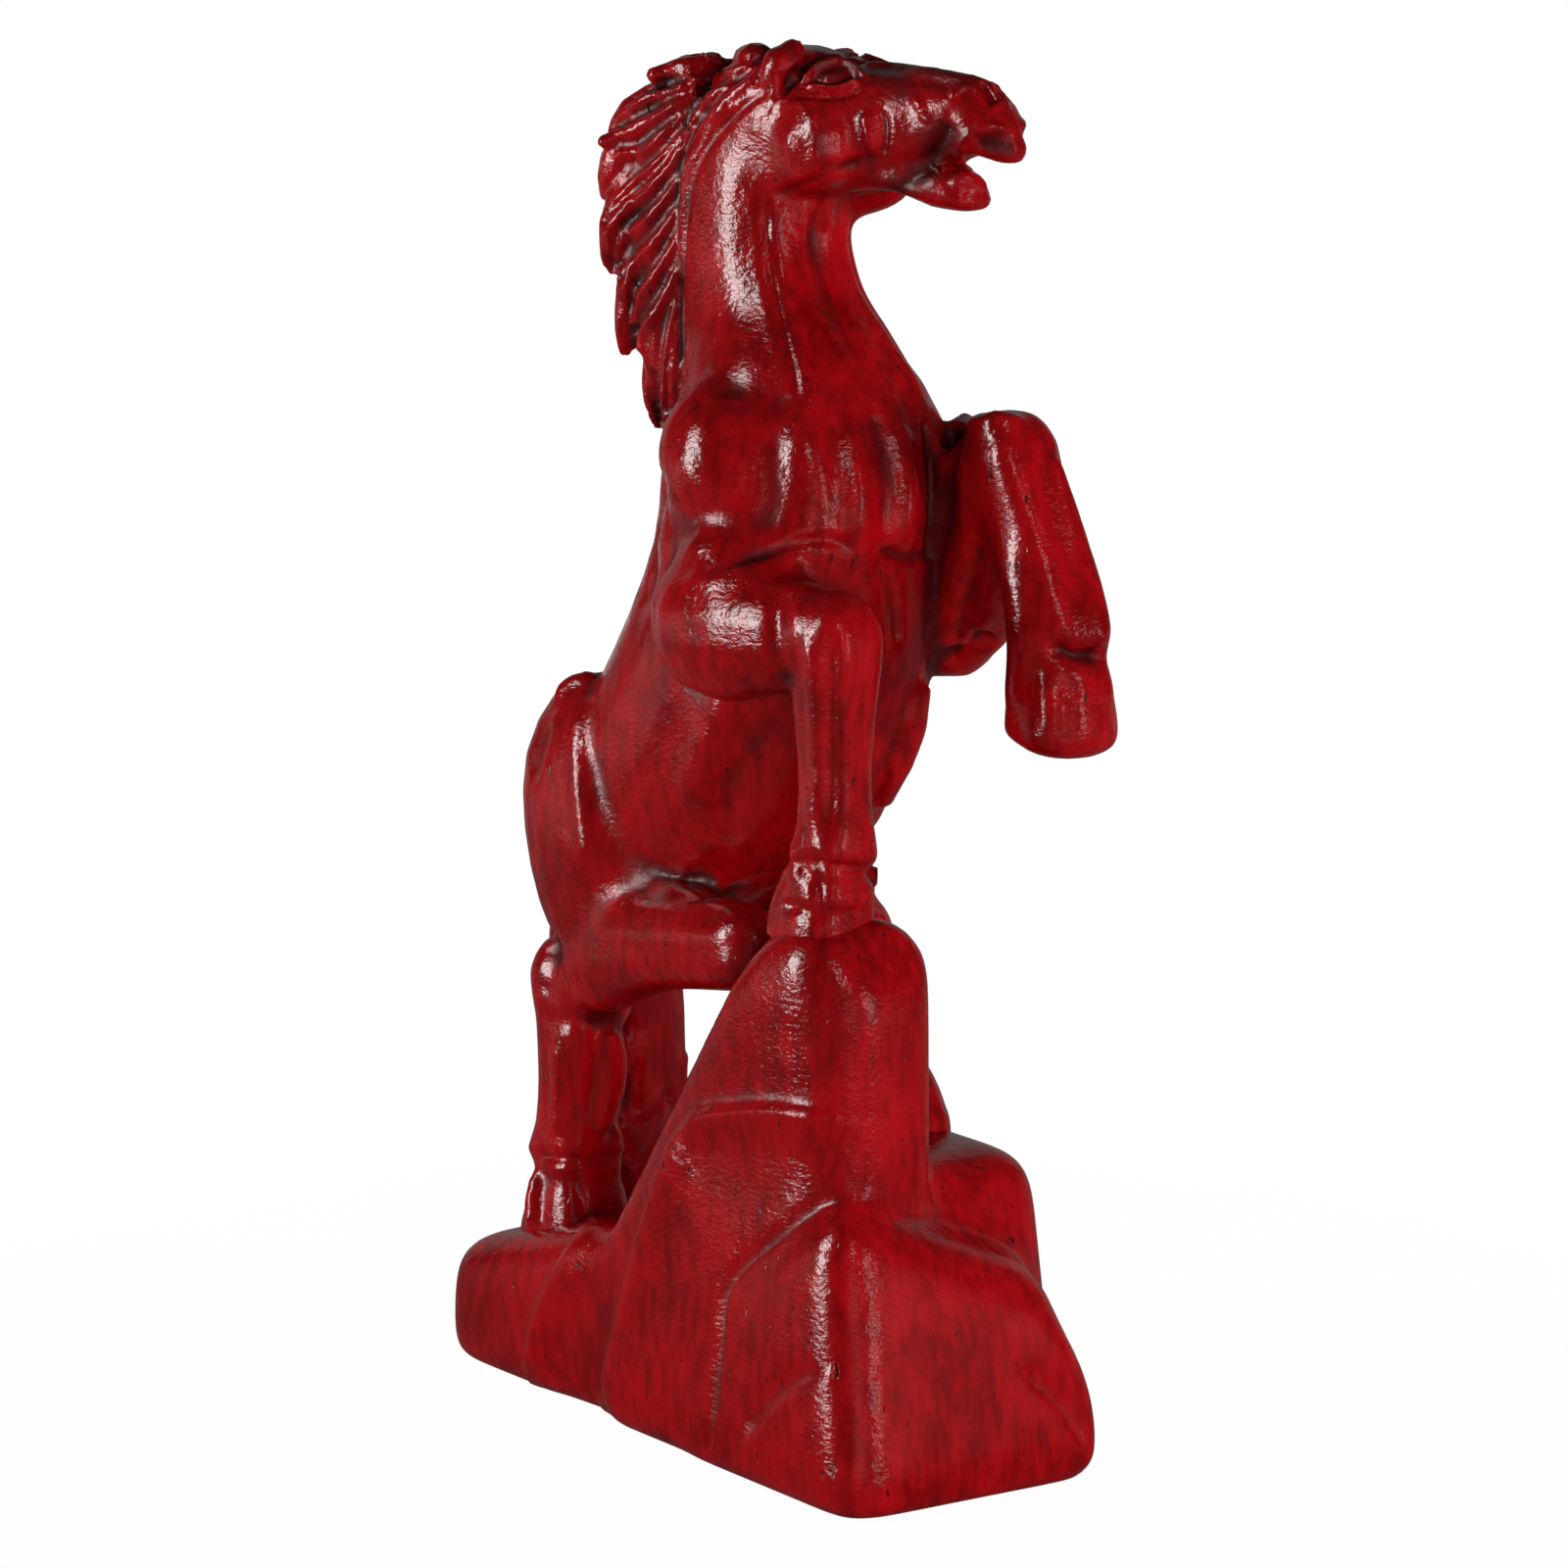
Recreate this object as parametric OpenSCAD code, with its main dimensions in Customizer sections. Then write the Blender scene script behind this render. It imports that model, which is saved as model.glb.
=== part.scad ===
// Rearing horse on a rock, carved from glued-up blocks of wood
// X runs from the tail to the chest, Y to the horse's left and Z up
// The origin lies on the underside, below the middle plane of the horse

/* [Body] */
// Width of the barrel
barrel_w = 29; // [27:0.5:31]
// Depth of the belly in front of the spine line
belly_d = 19; // [17.5:0.5:20.5]
// Depth of the back behind the spine line
back_d = 14; // [13:0.5:15]
// Width across the chest
chest_w = 27; // [25:0.5:29]
// Width across the haunches
hip_w = 32; // [30:0.5:34]

/* [Neck and head] */
// Width of the neck at its middle
neck_w = 16.4; // [15:0.2:18]
// Depth of the neck at its middle
neck_d = 21; // [19:0.5:23]
// Height of the poll, between the ears
poll_z = 138; // [136:0.5:141]
// Length of the head from the poll to the lips
head_l = 31; // [28:0.5:33]
// Width of the head across the cheeks
head_w = 14.6; // [13:0.2:16]
// Height of the head from the brow to the jaw
head_h = 15.4; // [14:0.2:17]
// Turn of the head to the horse's left
head_yaw = 18; // [5:1:30]
// Opening of the mouth at the lips
mouth_gap = 3; // [1:0.5:4]
// Width of the cords along the neck
cord_w = 4; // [3.4:0.2:4.6]
// Length of an ear
ear_l = 5.5; // [4.5:0.5:6.5]

/* [Legs] */
// Width of a knee
knee_w = 8.8; // [8:0.2:9.8]
// Width of a fore cannon
cannon_w = 6.8; // [6.2:0.2:7.6]
// Width of a fore hoof
hoof_w = 9.4; // [8.6:0.2:10.2]
// Width of a hock
hock_w = 9.8; // [9:0.2:10.6]
// Width of a hind cannon
hind_cannon_w = 8.2; // [7.4:0.2:9]
// Width of a hind hoof
hind_hoof_w = 10.4; // [9.6:0.2:11]
// Height of a hoof
hoof_h = 5; // [4:0.5:6]
// Height of the standing foreleg's knee
knee_z = 86.2; // [84:0.2:88]
// Height of the raised foreleg's knee
raised_knee_z = 103.5; // [102:0.5:105]
// Height of the raised foreleg's fetlock
raised_fetlock_z = 85; // [83:0.5:87]
// Distance of the forelegs from the middle plane
fore_y = 11.5; // [10.5:0.5:12.5]
// Distance of the hind legs from the middle plane
hind_y = 10; // [9:0.5:11]
// Height of the standing hind leg's hock
hock_z = 43; // [40:0.5:45]

/* [Mane and tail] */
// Thickness of a lock of the mane
lock_t = 5; // [4:0.2:6]
// Width of the tail at its fullest
tail_w = 16.6; // [14:0.2:18]
// Depth of the tail at its fullest
tail_d = 9.6; // [8:0.2:11]

/* [Rock] */
// Length of the base behind the origin
base_back = 36; // [33:0.5:38]
// Length of the base in front of the origin
base_front = 42; // [39:0.5:44]
// Width of the base on the horse's right
base_right = 20; // [19:0.5:21]
// Width of the base on the horse's left
base_left = 12; // [11:0.5:14]
// Height of the ledge at its back end
ledge_z = 12; // [10:0.5:14]
// Height of the peak under the standing forefoot
peak_z = 57; // [55:0.5:59]
// Height of the step in the peak's right face
step_z = 37; // [34:0.5:40]
// Height of the front boulder's right corner
boulder_z = 29.5; // [27:0.5:31]
// Height of the left boulder under the hind foot
left_z = 31; // [29:0.5:32]
// Radius of the worn rock edges
edge_r = 3.5; // [2.5:0.25:4]

/* [Joints] */
// Diameter of the dowels in the body
dowel_d = 4; // [3:0.5:4.5]
// Length of the dowels in the body
dowel_l = 12; // [9:1:12]
// Diameter of the dowels in the hooves
hoof_dowel_d = 3; // [2:0.5:3.5]
// Length of the dowels in the hooves
hoof_dowel_l = 8; // [6:1:9]
// Diameter of the dowels in the rock
rock_dowel_d = 6; // [4:0.5:7]
// Length of the dowels in the rock
rock_dowel_l = 14; // [10:1:15]
// Play round a dowel and at each of its ends
dowel_play = 0.05; // [0.02:0.01:0.1]

/* [Hidden] */
wood = "#8c1016";
dowel_wood = "#d8b27c";
far = 300;

// Glue faces between the blocks
neck_seam_z = 108;
left_fore_seam = 6.5;
right_fore_seam = 9;
hip_seam = 7;
thigh_top_z = hock_z + 14;
croup_z = 95;
function flank_x(z) = -14 - (z - 76) * tan(22);
tail_seam = 29.5;
tail_foot_z = 46;
elbow_top_z = 92;
elbow_foot_z = elbow_top_z - 15;
elbow_back_x = -3;
raised_back_x = 2;
raised_foot_z = raised_fetlock_z - 25;
stifle_front_x = 16;
crest_turn = 20;
crest_axis = [cos(crest_turn), sin(crest_turn), 0];
crest_seam = 8.6;
crest_foot_z = 95;
left_seam = -4;

// Rock slopes: the slab leans from its toe to the peak, the boulder against the peak's front
slab_toe = 19;
peak_back = 19.5;
peak_front = 34;
boulder_toe = 12;
crown_h = 4;
slab_lean = atan2(peak_back + slab_toe, peak_z - crown_h);
boulder_lean = atan2(peak_front - 1 - boulder_toe, boulder_z);
ledge_end = 4;
ledge_slope = tan(14);
function ledge_top(x) = ledge_z + (x + base_back) * ledge_slope;

// A standing hoof: height of the fetlock above the sole, and depth the hoof runs on into the rock
pastern_h = 8.4;
hoof_sink = 4;

function at(p, w, f, b) = [p[0], p[1], p[2], w, f, b];
function mix(a, b, t) = a + (b - a) * t;
function unit(v) = v / norm(v);
function spot(s) = [s[0], s[1], s[2]];
function flip(list) = [for (s = list) [for (i = [0 : len(s) - 1]) i == 1 ? -s[i] : s[i]]];
function spline(p0, p1, p2, p3, t) =
    0.5 * (2 * p1 + (p2 - p0) * t + (2 * p0 - 5 * p1 + 4 * p2 - p3) * t * t
    + (3 * p1 - p0 - 3 * p2 + p3) * t * t * t);
function refine(st, k) = let (n = len(st) - 1)
    [for (i = [0 : n - 1]) for (j = [0 : k - 1])
        spline(st[max(i - 1, 0)], st[i], st[i + 1], st[min(i + 2, n)], j / k), st[n]];
function along(st, i) = unit(spot(st[min(i + 1, len(st) - 1)]) - spot(st[max(i - 1, 0)]));
function power(x, e) = sign(x) * pow(abs(x), e);
function swell(p, bumps) = len(bumps) == 0 ? 0 :
    let (h = [for (b = bumps) let (d = (p - b[0]) / b[1]) b[2] * exp(-d * d)]) h * [for (x = h) 1];
function ring(st, i, side, sides, square, bumps) =
    let (t = along(st, i), s = unit(side - (side * t) * t), f = cross(s, t), c = spot(st[i]))
    [for (k = [0 : sides - 1])
        let (a = 360 * (k + 0.5) / sides, x = power(cos(a), 2 / square) * st[i][3],
            y = power(sin(a), 2 / square) * (sin(a) > 0 ? st[i][4] : st[i][5]),
            p = c + x * s + y * f)
        p + swell(p, bumps) * unit(p - c)];

// Smooth solid through stations of [x, y, z, half width, front depth, back depth]
module loft(stations, side = [0, 1, 0], steps = 2, sides = 16, square = 2.2, bumps = []) {
    st = refine(stations, steps);
    n = len(st);
    points = [for (i = [0 : n - 1]) each ring(st, i, side, sides, square, bumps)];
    ends = [spot(st[0]), spot(st[n - 1])];
    faces = [
        for (i = [0 : n - 2]) for (k = [0 : sides - 1])
            let (a = i * sides + k, b = i * sides + (k + 1) % sides, c = a + sides, d = b + sides)
            each [[a, b, c], [b, d, c]],
        for (k = [0 : sides - 1]) [n * sides, (k + 1) % sides, k],
        for (k = [0 : sides - 1]) [n * sides + 1, (n - 1) * sides + k, (n - 1) * sides + (k + 1) % sides]];
    polyhedron(concat(points, ends), faces);
}
module half(z0) translate([-far / 2, -far / 2, z0]) cube(far);
module block(low, high) translate(low) cube(high - low);

// Trunk and neck: one run of stations from the rump over the chest to the poll
barrel = barrel_w / 2;
chest = chest_w / 2;
neck = neck_w / 2;
torso_line = [
    [-30, 0, 51, 0.3 * barrel, 0.2 * belly_d, 0.25 * back_d],
    [-26.5, 0, 54.5, 0.7 * barrel, 0.47 * belly_d, 0.55 * back_d],
    [-19, 0, 61, 0.92 * barrel, 0.76 * belly_d, 0.84 * back_d],
    [-10, 0, 69, barrel, belly_d, 0.97 * back_d],
    [-3, 0, 78, barrel, 1.04 * belly_d, back_d],
    [2, 0, 88, mix(barrel, chest, 0.6), 0.93 * belly_d, back_d],
    [4, 0, 98, chest, 0.82 * belly_d, back_d],
    [3.2, 0, 106, 0.88 * chest, 0.66 * belly_d, 0.93 * back_d],
    [0, 0, 114, 1.03 * neck, 0.45 * neck_d, 0.57 * neck_d],
    [-2.2, 0, 121.5, 0.97 * neck, 0.42 * neck_d, neck_d / 2],
    [-2.8, 0, 128, 0.95 * neck, 0.45 * neck_d, 0.45 * neck_d],
    [-3.5, 0, poll_z - 4, 0.85 * neck, 0.4 * neck_d, 0.38 * neck_d],
    [-4, 0, poll_z, 0.5 * neck, 0.24 * neck_d, 0.2 * neck_d]];
shoulder = [8, chest + 1.5, 99];
breast = [19, 5, 97];
torso_swells = [
    for (s = [-1, 1]) each [
        [[shoulder[0], s * shoulder[1], shoulder[2]], 9, 2.6],
        [[breast[0], s * breast[1], breast[2]], 5, 1.4]],
    [[21, 0, 92], 3.5, -1.2]];
// Muscles on the trunk: the right shoulder's dome and upper arm, and the cords of the neck and chest
dome_w = 12;
dome_at = [5.4, 2.6 - chest, 101];
dome_line = [
    at(dome_at + [-1, 0.8, 8.5], 0.1 * dome_w, 1.2, 1.2),
    at(dome_at + [-0.8, 0.5, 6.5], 0.3 * dome_w, 4.2, 4.2),
    at(dome_at + [-0.4, 0.2, 3.5], 0.45 * dome_w, 6, 6),
    at(dome_at, 0.5 * dome_w, 6.6, 6.6),
    at(dome_at - [0, 0, 3.5], 0.47 * dome_w, 6.2, 6.2),
    at(dome_at - [0.2, -0.2, 6.5], 0.32 * dome_w, 4.6, 4.6),
    at(dome_at - [0.4, -0.4, 8.5], 0.1 * dome_w, 1.2, 1.2)];
arm_line = [
    [7, 2.5 - chest, 97, 0.8, 0.9, 0.9],
    [7.6, 1.5 - chest, 94.5, 3.4, 4, 4],
    [8, 0.9 - chest, 91, 4.6, 5.4, 5.4],
    [8.5, 0.9 - chest, 87, 4.6, 5.4, 5.4],
    [8.5, 1.5 - chest, 83, 2, 2.4, 2.4]];
// Points along a cord with the share of its width there
side_cord = [[3.8, 3.4, 130, 0.4], [4.2, 3.8, 126.5, 0.95], [4.6, 4.1, 121, 0.95], [6.1, 4.4, 116.9, 1],
    [9.8, 5.3, 112.5, 1], [13, 5.9, 108.6, 1], [15.1, 6, 105, 1], [17.3, 6.3, 100, 1.1],
    [17.6, 6.2, 95, 0.5]];
right_cord = [[7.4, 1.6, 116.9, 0.4], [10.1, 1.2, 113.9, 1], [13.5, -0.2, 109.6, 1], [15.9, -1.6, 105.2, 1],
    [17.7, -3.1, 100.7, 1], [19, -3.5, 97, 1], [19.3, -3.4, 93.5, 0.5]];
left_cord = [[12.4, 1.8, 110.6, 0.4], [14.8, 1.7, 107.4, 1], [16.5, 1.9, 104.1, 1], [18.1, 2.2, 100.4, 1],
    [19.3, 2.4, 96.6, 1.1], [19.3, 2.4, 93, 0.5]];
chest_cord = [[14.8, 7.8, 106.4, 0.4], [15, 8.1, 103.6, 0.95], [15.2, 8.3, 100.5, 1.05],
    [15.4, 8.2, 97.5, 0.8], [15.4, 8, 95.4, 0.3]];
module cord(line) loft([for (p = line) at(p, p[3] * cord_w / 2, p[3] * cord_w / 2, p[3] * cord_w / 2)],
    steps = 1, sides = 8);
module torso() {
    loft(torso_line, sides = 20, bumps = torso_swells);
    loft(dome_line, sides = 14);
    loft(arm_line, sides = 14);
    for (line = [side_cord, flip(side_cord), chest_cord, flip(chest_cord), right_cord, left_cord]) cord(line);
}

// Head in its own frame: X along the face, origin inside the poll
head_at = [-1, 0, poll_z - 3];
face = head_l / 31;
cheek = head_w / 2;
depth = head_h / 2;
head_line = [
    [-7 * face, 0, 0, 0.4 * cheek, 0.5 * depth, 0.5 * depth],
    [-3.5 * face, 0, -0.5, 0.85 * cheek, 0.9 * depth, 0.8 * depth],
    [face, 0, -0.5, 0.98 * cheek, 1.04 * depth, 0.96 * depth],
    [5.5 * face, 0, -0.5, cheek, 1.03 * depth, depth],
    [10.5 * face, 0, -0.3, 0.88 * cheek, 0.93 * depth, 0.83 * depth],
    [15 * face, 0, 0, 0.71 * cheek, 0.72 * depth, 0.7 * depth],
    [20 * face, 0, 0.6, 0.59 * cheek, 0.6 * depth, 0.61 * depth],
    [24.5 * face, 0, 0.9, 0.57 * cheek, 0.48 * depth, 0.54 * depth],
    [27.4 * face, 0, -0.1, 0.48 * cheek, 0.37 * depth, 0.43 * depth],
    [29.6 * face, 0, -1.5, 0.33 * cheek, 0.25 * depth, 0.22 * depth],
    [head_l, 0, -2.2, 0.12 * cheek, 0.12 * depth, 0.1 * depth]];
lip_z = -0.4 * depth - mouth_gap;
jaw_line = [
    [7 * face, 0, -0.52 * depth, 0.57 * cheek, 3.4, 3],
    [12 * face, 0, -0.55 * depth, 0.52 * cheek, 2.9, 3],
    [17 * face, 0, -0.62 * depth, 0.46 * cheek, 2.2, 3],
    [21.5 * face, 0, -0.73 * depth, 0.43 * cheek, 2.6, 2.4],
    [25 * face, 0, lip_z - 0.9, 0.36 * cheek, 1.4, 1.5],
    [26.5 * face, 0, lip_z - 1.2, 0.12 * cheek, 0.5, 0.6]];
ear_root = [3.4, 0.62 * cheek, 2.4];
ear_tip = ear_root + ear_l * [0.5, -0.05, 0.87];
ear_line = [
    at(ear_root, 1.4, 1.5, 1.4),
    at(mix(ear_root, ear_tip, 0.4), 1.9, 1.7, 1.4),
    at(mix(ear_root, ear_tip, 0.75), 1.6, 1.3, 1.2),
    at(ear_tip, 0.5, 0.5, 0.5)];
// Cheek plate, lying on the side of the head, and the jowl that hangs below it on the left
plate_r = 0.35 * head_h;
plate_at = [7.2, 0, -1.8];
plate_line = [
    at(plate_at + [0, 0.48 * cheek, 0], 1.3 * plate_r, plate_r, plate_r),
    at(plate_at + [0, 0.85 * cheek, 0], 1.2 * plate_r, plate_r, plate_r),
    at(plate_at + [0, 0.98 * cheek, 0], 0.95 * plate_r, 0.78 * plate_r, 0.78 * plate_r),
    at(plate_at + [-0.4, 1.04 * cheek, 0], 0.4 * plate_r, 0.3 * plate_r, 0.3 * plate_r)];
jowl_line = [
    [3, 4, 0.9 - depth, 0.7, 0.7, 0.7],
    [5.5, 4.4, -1.05 * depth, 2.3, 2.4, 2.4],
    [9, 4.4, -1.02 * depth, 2.3, 2.4, 2.4],
    [12.5, 4, -0.86 * depth, 1.9, 2, 2],
    [14.5, 3.8, -0.8 * depth, 0.6, 0.6, 0.6]];
module head() translate(head_at) rotate(head_yaw) {
    loft(head_line, sides = 20);
    loft(jaw_line, sides = 14);
    loft(plate_line, side = [1, 0, 0], steps = 1, sides = 14);
    loft(flip(plate_line), side = [1, 0, 0], steps = 1, sides = 14);
    loft(jowl_line, sides = 8);
    loft(ear_line, sides = 10);
    loft(flip(ear_line), sides = 10);
}

// Lower leg from the knee or hock over the fetlock to below the sole
function shank(knee, fetlock, sole, k = knee_w, c = cannon_w, h = hoof_w) =
    let (up = unit(knee - fetlock), down = unit(sole - fetlock), brim = sole - down * hoof_h)
    [at(knee + up * 0.52 * k, 0.1 * k, 0.1 * k, 0.1 * k),
    at(knee + up * 0.36 * k, 0.36 * k, 0.42 * k, 0.42 * k),
    at(knee, 0.5 * k, 0.58 * k, 0.56 * k),
    at(mix(knee, fetlock, 0.25), 0.44 * k, 0.5 * k, 0.5 * k),
    at(mix(knee, fetlock, 0.58), 0.48 * c, 0.53 * c, 0.53 * c),
    at(mix(knee, fetlock, 0.85), 0.49 * c, 0.56 * c, 0.54 * c),
    at(fetlock, 0.56 * c, 0.66 * c, 0.6 * c),
    at(mix(fetlock, brim, 0.6), 0.48 * c, 0.54 * c, 0.54 * c),
    at(brim, 0.42 * h, 0.46 * h, 0.48 * h),
    at(sole, 0.5 * h, 0.56 * h, 0.58 * h)];
function hind_shank(hock, fetlock, sole) = shank(hock, fetlock, sole, hock_w, hind_cannon_w, hind_hoof_w);
// A standing hoof runs on below its sole, where the rock cuts it
function sunk(stations) = let (s = stations[len(stations) - 1])
    concat(stations, [at(spot(s) - [0, 0, hoof_sink], s[3], s[4], s[5])]);
// A raised hoof closes with a worn sole
function worn(stations) =
    let (n = len(stations) - 1, s = stations[n], d = unit(spot(s) - spot(stations[n - 1])))
    concat(stations, [at(spot(s) + d * 0.9, 0.8 * s[3], 0.8 * s[4], 0.8 * s[5]),
        at(spot(s) + d * 1.1, 0.1 * s[3], 0.1 * s[4], 0.1 * s[5])]);
module leg(stations) loft(stations, sides = 14, square = 2.8);

right_knee = [26, -fore_y, knee_z];
right_sole = [23.8, -fore_y, peak_z];
right_fetlock = right_sole + [2.5, 0, pastern_h - 0.8];
elbow_z = elbow_top_z - 6.2;
module foreleg_right_form() {
    leg(sunk(shank(right_knee, right_fetlock, right_sole)));
    loft([
        [1.5, -fore_y + 1, elbow_z, 2, 3, 3],
        [5.5, -fore_y - 2, elbow_z, 5.2, 7, 6],
        [11, -fore_y - 2.6, elbow_z, 5.8, 7.8, 6.2],
        [17.5, -fore_y - 1.8, mix(elbow_z, knee_z, 0.3), 5.2, 6.8, 5.6],
        [23, -fore_y - 0.6, mix(elbow_z, knee_z, 0.8), 0.53 * knee_w, 5.6, 5],
        [right_knee[0] + 1, -fore_y, knee_z, 0.46 * knee_w, 4.2, 4],
        [right_knee[0] + 3.5, -fore_y, knee_z, 1.2, 1.2, 1.2]]);
}

raised_elbow_z = 83.5;
left_knee = [27, fore_y - 2.3, raised_knee_z - 1];
left_fetlock = [35, fore_y - 1, raised_fetlock_z];
left_sole = [34, fore_y - 1, raised_fetlock_z - 9.5];
module foreleg_left_form() {
    leg(worn(shank(left_knee, left_fetlock, left_sole)));
    loft([
        [5, fore_y - 2, raised_elbow_z + 1.5, 2, 3, 3],
        [8.5, fore_y + 1, raised_elbow_z, 5, 6, 6],
        [13, fore_y + 1, mix(raised_elbow_z, raised_knee_z, 0.12), 5.8, 7.6, 7],
        [18, fore_y, mix(raised_elbow_z, raised_knee_z, 0.48), 5.6, 7.6, 6.6],
        [23.5, fore_y - 1.6, raised_knee_z - 4, 0.55 * knee_w, 6, 5.6],
        [27.5, fore_y - 2.3, raised_knee_z - 0.8, 0.46 * knee_w, 4.4, 4.2],
        [29.8, fore_y - 2.4, raised_knee_z + 0.8, 1.2, 1.2, 1.2]]);
}

// Haunch on one side: s is -1 on the right and 1 on the left
module haunch(s) {
    y = hip_w / 2 - 6.5;
    loft([
        [-18, s * (y - 2), 75, 2, 2, 2],
        [-18.6, s * (y - 1), 72, 5.2, 6.4, 7],
        [-19, s * y, 66, 6.4, 9.6, 10],
        [-19, s * y, 59, 6.5, 10, 12],
        [-18, s * (y + 0.2), 52, 5.8, 8.4, 11],
        [-17, s * hind_y, hock_z + 4.5, 4.6, 5.6, 7],
        [-17, s * hind_y, hock_z + 2, 2, 2, 2]], sides = 18);
}
right_hock = [-21.6, -hind_y, hock_z];
right_hind_x = -23.2;
right_hind_sole = [right_hind_x, -hind_y, ledge_top(right_hind_x)];
right_hind_fetlock = right_hind_sole + [0.4, 0, pastern_h];
module hind_leg_right_form() {
    haunch(-1);
    loft([
        [14.2, -hind_y - 1, hock_z + 8.8, 0.6, 0.8, 0.8],
        [13.2, -hind_y - 1, hock_z + 8.8, 2.4, 2.8, 2.8],
        [10, -hind_y - 1, hock_z + 8.6, 4.2, 4.6, 4.6],
        [-1, -hind_y - 1, hock_z + 7.6, 4.8, 5.4, 5.4],
        [-9, -hind_y - 0.8, hock_z + 5.5, 4.8, 6, 5.4],
        [-17, -hind_y - 0.4, hock_z + 2, 4.6, 5.4, 5.2],
        [-23, -hind_y, hock_z - 2, 3, 3, 3]]);
    leg(sunk(hind_shank(right_hock, right_hind_fetlock, right_hind_sole)));
}
left_hock = [-13, hind_y, hock_z + 1.5];
left_hind_sole = [12, hind_y - 4, left_z];
left_hind_fetlock = left_hind_sole + [-4.5, 1.2, pastern_h - 1];
module hind_leg_left_form() {
    haunch(1);
    loft([
        [3.2, hind_y + 0.2, hock_z + 4.5, 0.6, 0.8, 0.8],
        [2.4, hind_y + 0.3, hock_z + 4.6, 2.4, 2.8, 2.8],
        [0.2, hind_y + 0.4, hock_z + 5, 4.2, 4.6, 4.6],
        [-4, hind_y + 0.6, hock_z + 5.5, 4.6, 5.4, 5],
        [-9, hind_y + 0.5, hock_z + 4.6, 4.6, 5.4, 5],
        [-13, hind_y + 0.3, hock_z + 2, 4.2, 5, 5],
        [-15, hind_y, hock_z - 1, 2, 2, 2]]);
    leg(sunk(hind_shank(left_hock, left_hind_fetlock, left_hind_sole)));
}

// Tail hanging behind the hocks down to the ledge
tail_x = right_hock[0] - 0.56 * hock_w - 1.2 - tail_d / 2;
tail_line = [
    [3.5 - tail_seam, 0.5, 63.5, 1.5, 1.5, 1.5],
    [-tail_seam, 0.8, 61.5, 0.22 * tail_w, 3, 3],
    [mix(-tail_seam, tail_x, 0.8), 1, 55.5, 0.34 * tail_w, 0.45 * tail_d, 0.45 * tail_d],
    [tail_x, 1.5, 46, 0.45 * tail_w, tail_d / 2, tail_d / 2],
    [tail_x + 0.2, 1.6, 35, 0.5 * tail_w, tail_d / 2, tail_d / 2],
    [tail_x + 1, 1.6, 25, 0.47 * tail_w, 0.46 * tail_d, 0.46 * tail_d],
    [tail_x + 2, 1.5, 16, 0.36 * tail_w, 0.38 * tail_d, 0.38 * tail_d],
    [tail_x + 2.6, 1.5, 8, 0.24 * tail_w, 0.3 * tail_d, 0.3 * tail_d]];

module tail_form() loft(tail_line);

// Mane: locks that sweep back and to the horse's right from the crest
crest_top = [-7, -1, poll_z - 0.5];
crest_end = [-11, -2.5, poll_z - 40];
locks = [
    [0, [-14.8, -3.6, poll_z - 0.8], 2.4],
    [0.02, [-21, -6.8, poll_z - 8.2], 2.4],
    [0.1, [-19.8, -8, poll_z - 13], 4.2],
    [0.2, [-19, -8.2, poll_z - 20], 4.4],
    [0.34, [-17, -7.4, poll_z - 29], 4],
    [0.56, [-14.4, -5, poll_z - 36.5], 3],
    [0.04, [-17.5, 0.5, poll_z - 6], 2.8],
    [0.16, [-18.5, 0, poll_z - 16], 4],
    [0.34, [-16.8, -0.5, poll_z - 27], 3.6]];
module lock(share, tip, tall) {
    root = mix(crest_top, crest_end, share);
    reach = tip - root;
    swing = [-0.08, -0.03, 0.12] * norm(reach);
    loft([at(root, 0.7 * tall, lock_t / 2, lock_t / 2),
        at(root + 0.35 * reach + 0.8 * swing, tall, 0.58 * lock_t, 0.58 * lock_t),
        at(root + 0.68 * reach + swing, 0.8 * tall, lock_t / 2, lock_t / 2),
        at(root + 0.9 * reach + 0.4 * swing, 0.42 * tall, 0.34 * lock_t, 0.34 * lock_t),
        at(tip, 0.1 * tall, 0.1 * lock_t, 0.1 * lock_t)],
        side = [0.4, 0, 1], sides = 8);
}
module mane_form() {
    loft([
        [-6.5, -1, poll_z + 1.5, 1, 1, 1],
        [-8.2, -1.6, poll_z - 0.5, 4.2, 3.6, 3.6],
        [-10.4, -3, poll_z - 7, 6.2, 4.4, 4.4],
        [-11, -3.4, poll_z - 17, 6.6, 4.6, 4.6],
        [-11, -3.2, poll_z - 27, 6, 4.4, 4.4],
        [-10.6, -2.8, poll_z - 36, 4, 3.2, 3.2],
        [-10.6, -2.6, poll_z - 42, 1.4, 1.4, 1.4]], side = -crest_axis, sides = 12);
    for (l = locks) lock(l[0], l[1], l[2]);
}

// Glue blocks: each carves its share out of the forms that cross it
module neck_block() half(neck_seam_z);
module mane_block() rotate(crest_turn) block([-far, -far / 2, crest_foot_z], [-crest_seam, far / 2, far]);
module foreleg_right_block() {
    block([elbow_back_x, -far, elbow_foot_z], [far, -right_fore_seam, elbow_top_z]);
    block([belly_d, -far, peak_z - 2 * hoof_h], [far, 2 - right_fore_seam, elbow_top_z]);
}
module foreleg_left_block() {
    block([raised_back_x, left_fore_seam, elbow_foot_z], [far, far, neck_seam_z]);
    block([belly_d + 4, left_fore_seam - 5, raised_foot_z], [far, far, far]);
}
module hind_block(s) {
    outline = [[-far, -1], [stifle_front_x, -1], [stifle_front_x, thigh_top_z],
        [flank_x(thigh_top_z), thigh_top_z], [flank_x(croup_z), croup_z], [-far, croup_z]];
    translate([0, s < 0 ? -hip_seam : far, 0]) rotate([90, 0, 0])
        linear_extrude(far - hip_seam) polygon(outline);
    translate([-far / 2, s < 0 ? -far : 0, -1]) cube([far, far, tail_foot_z + 1]);
}
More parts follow.
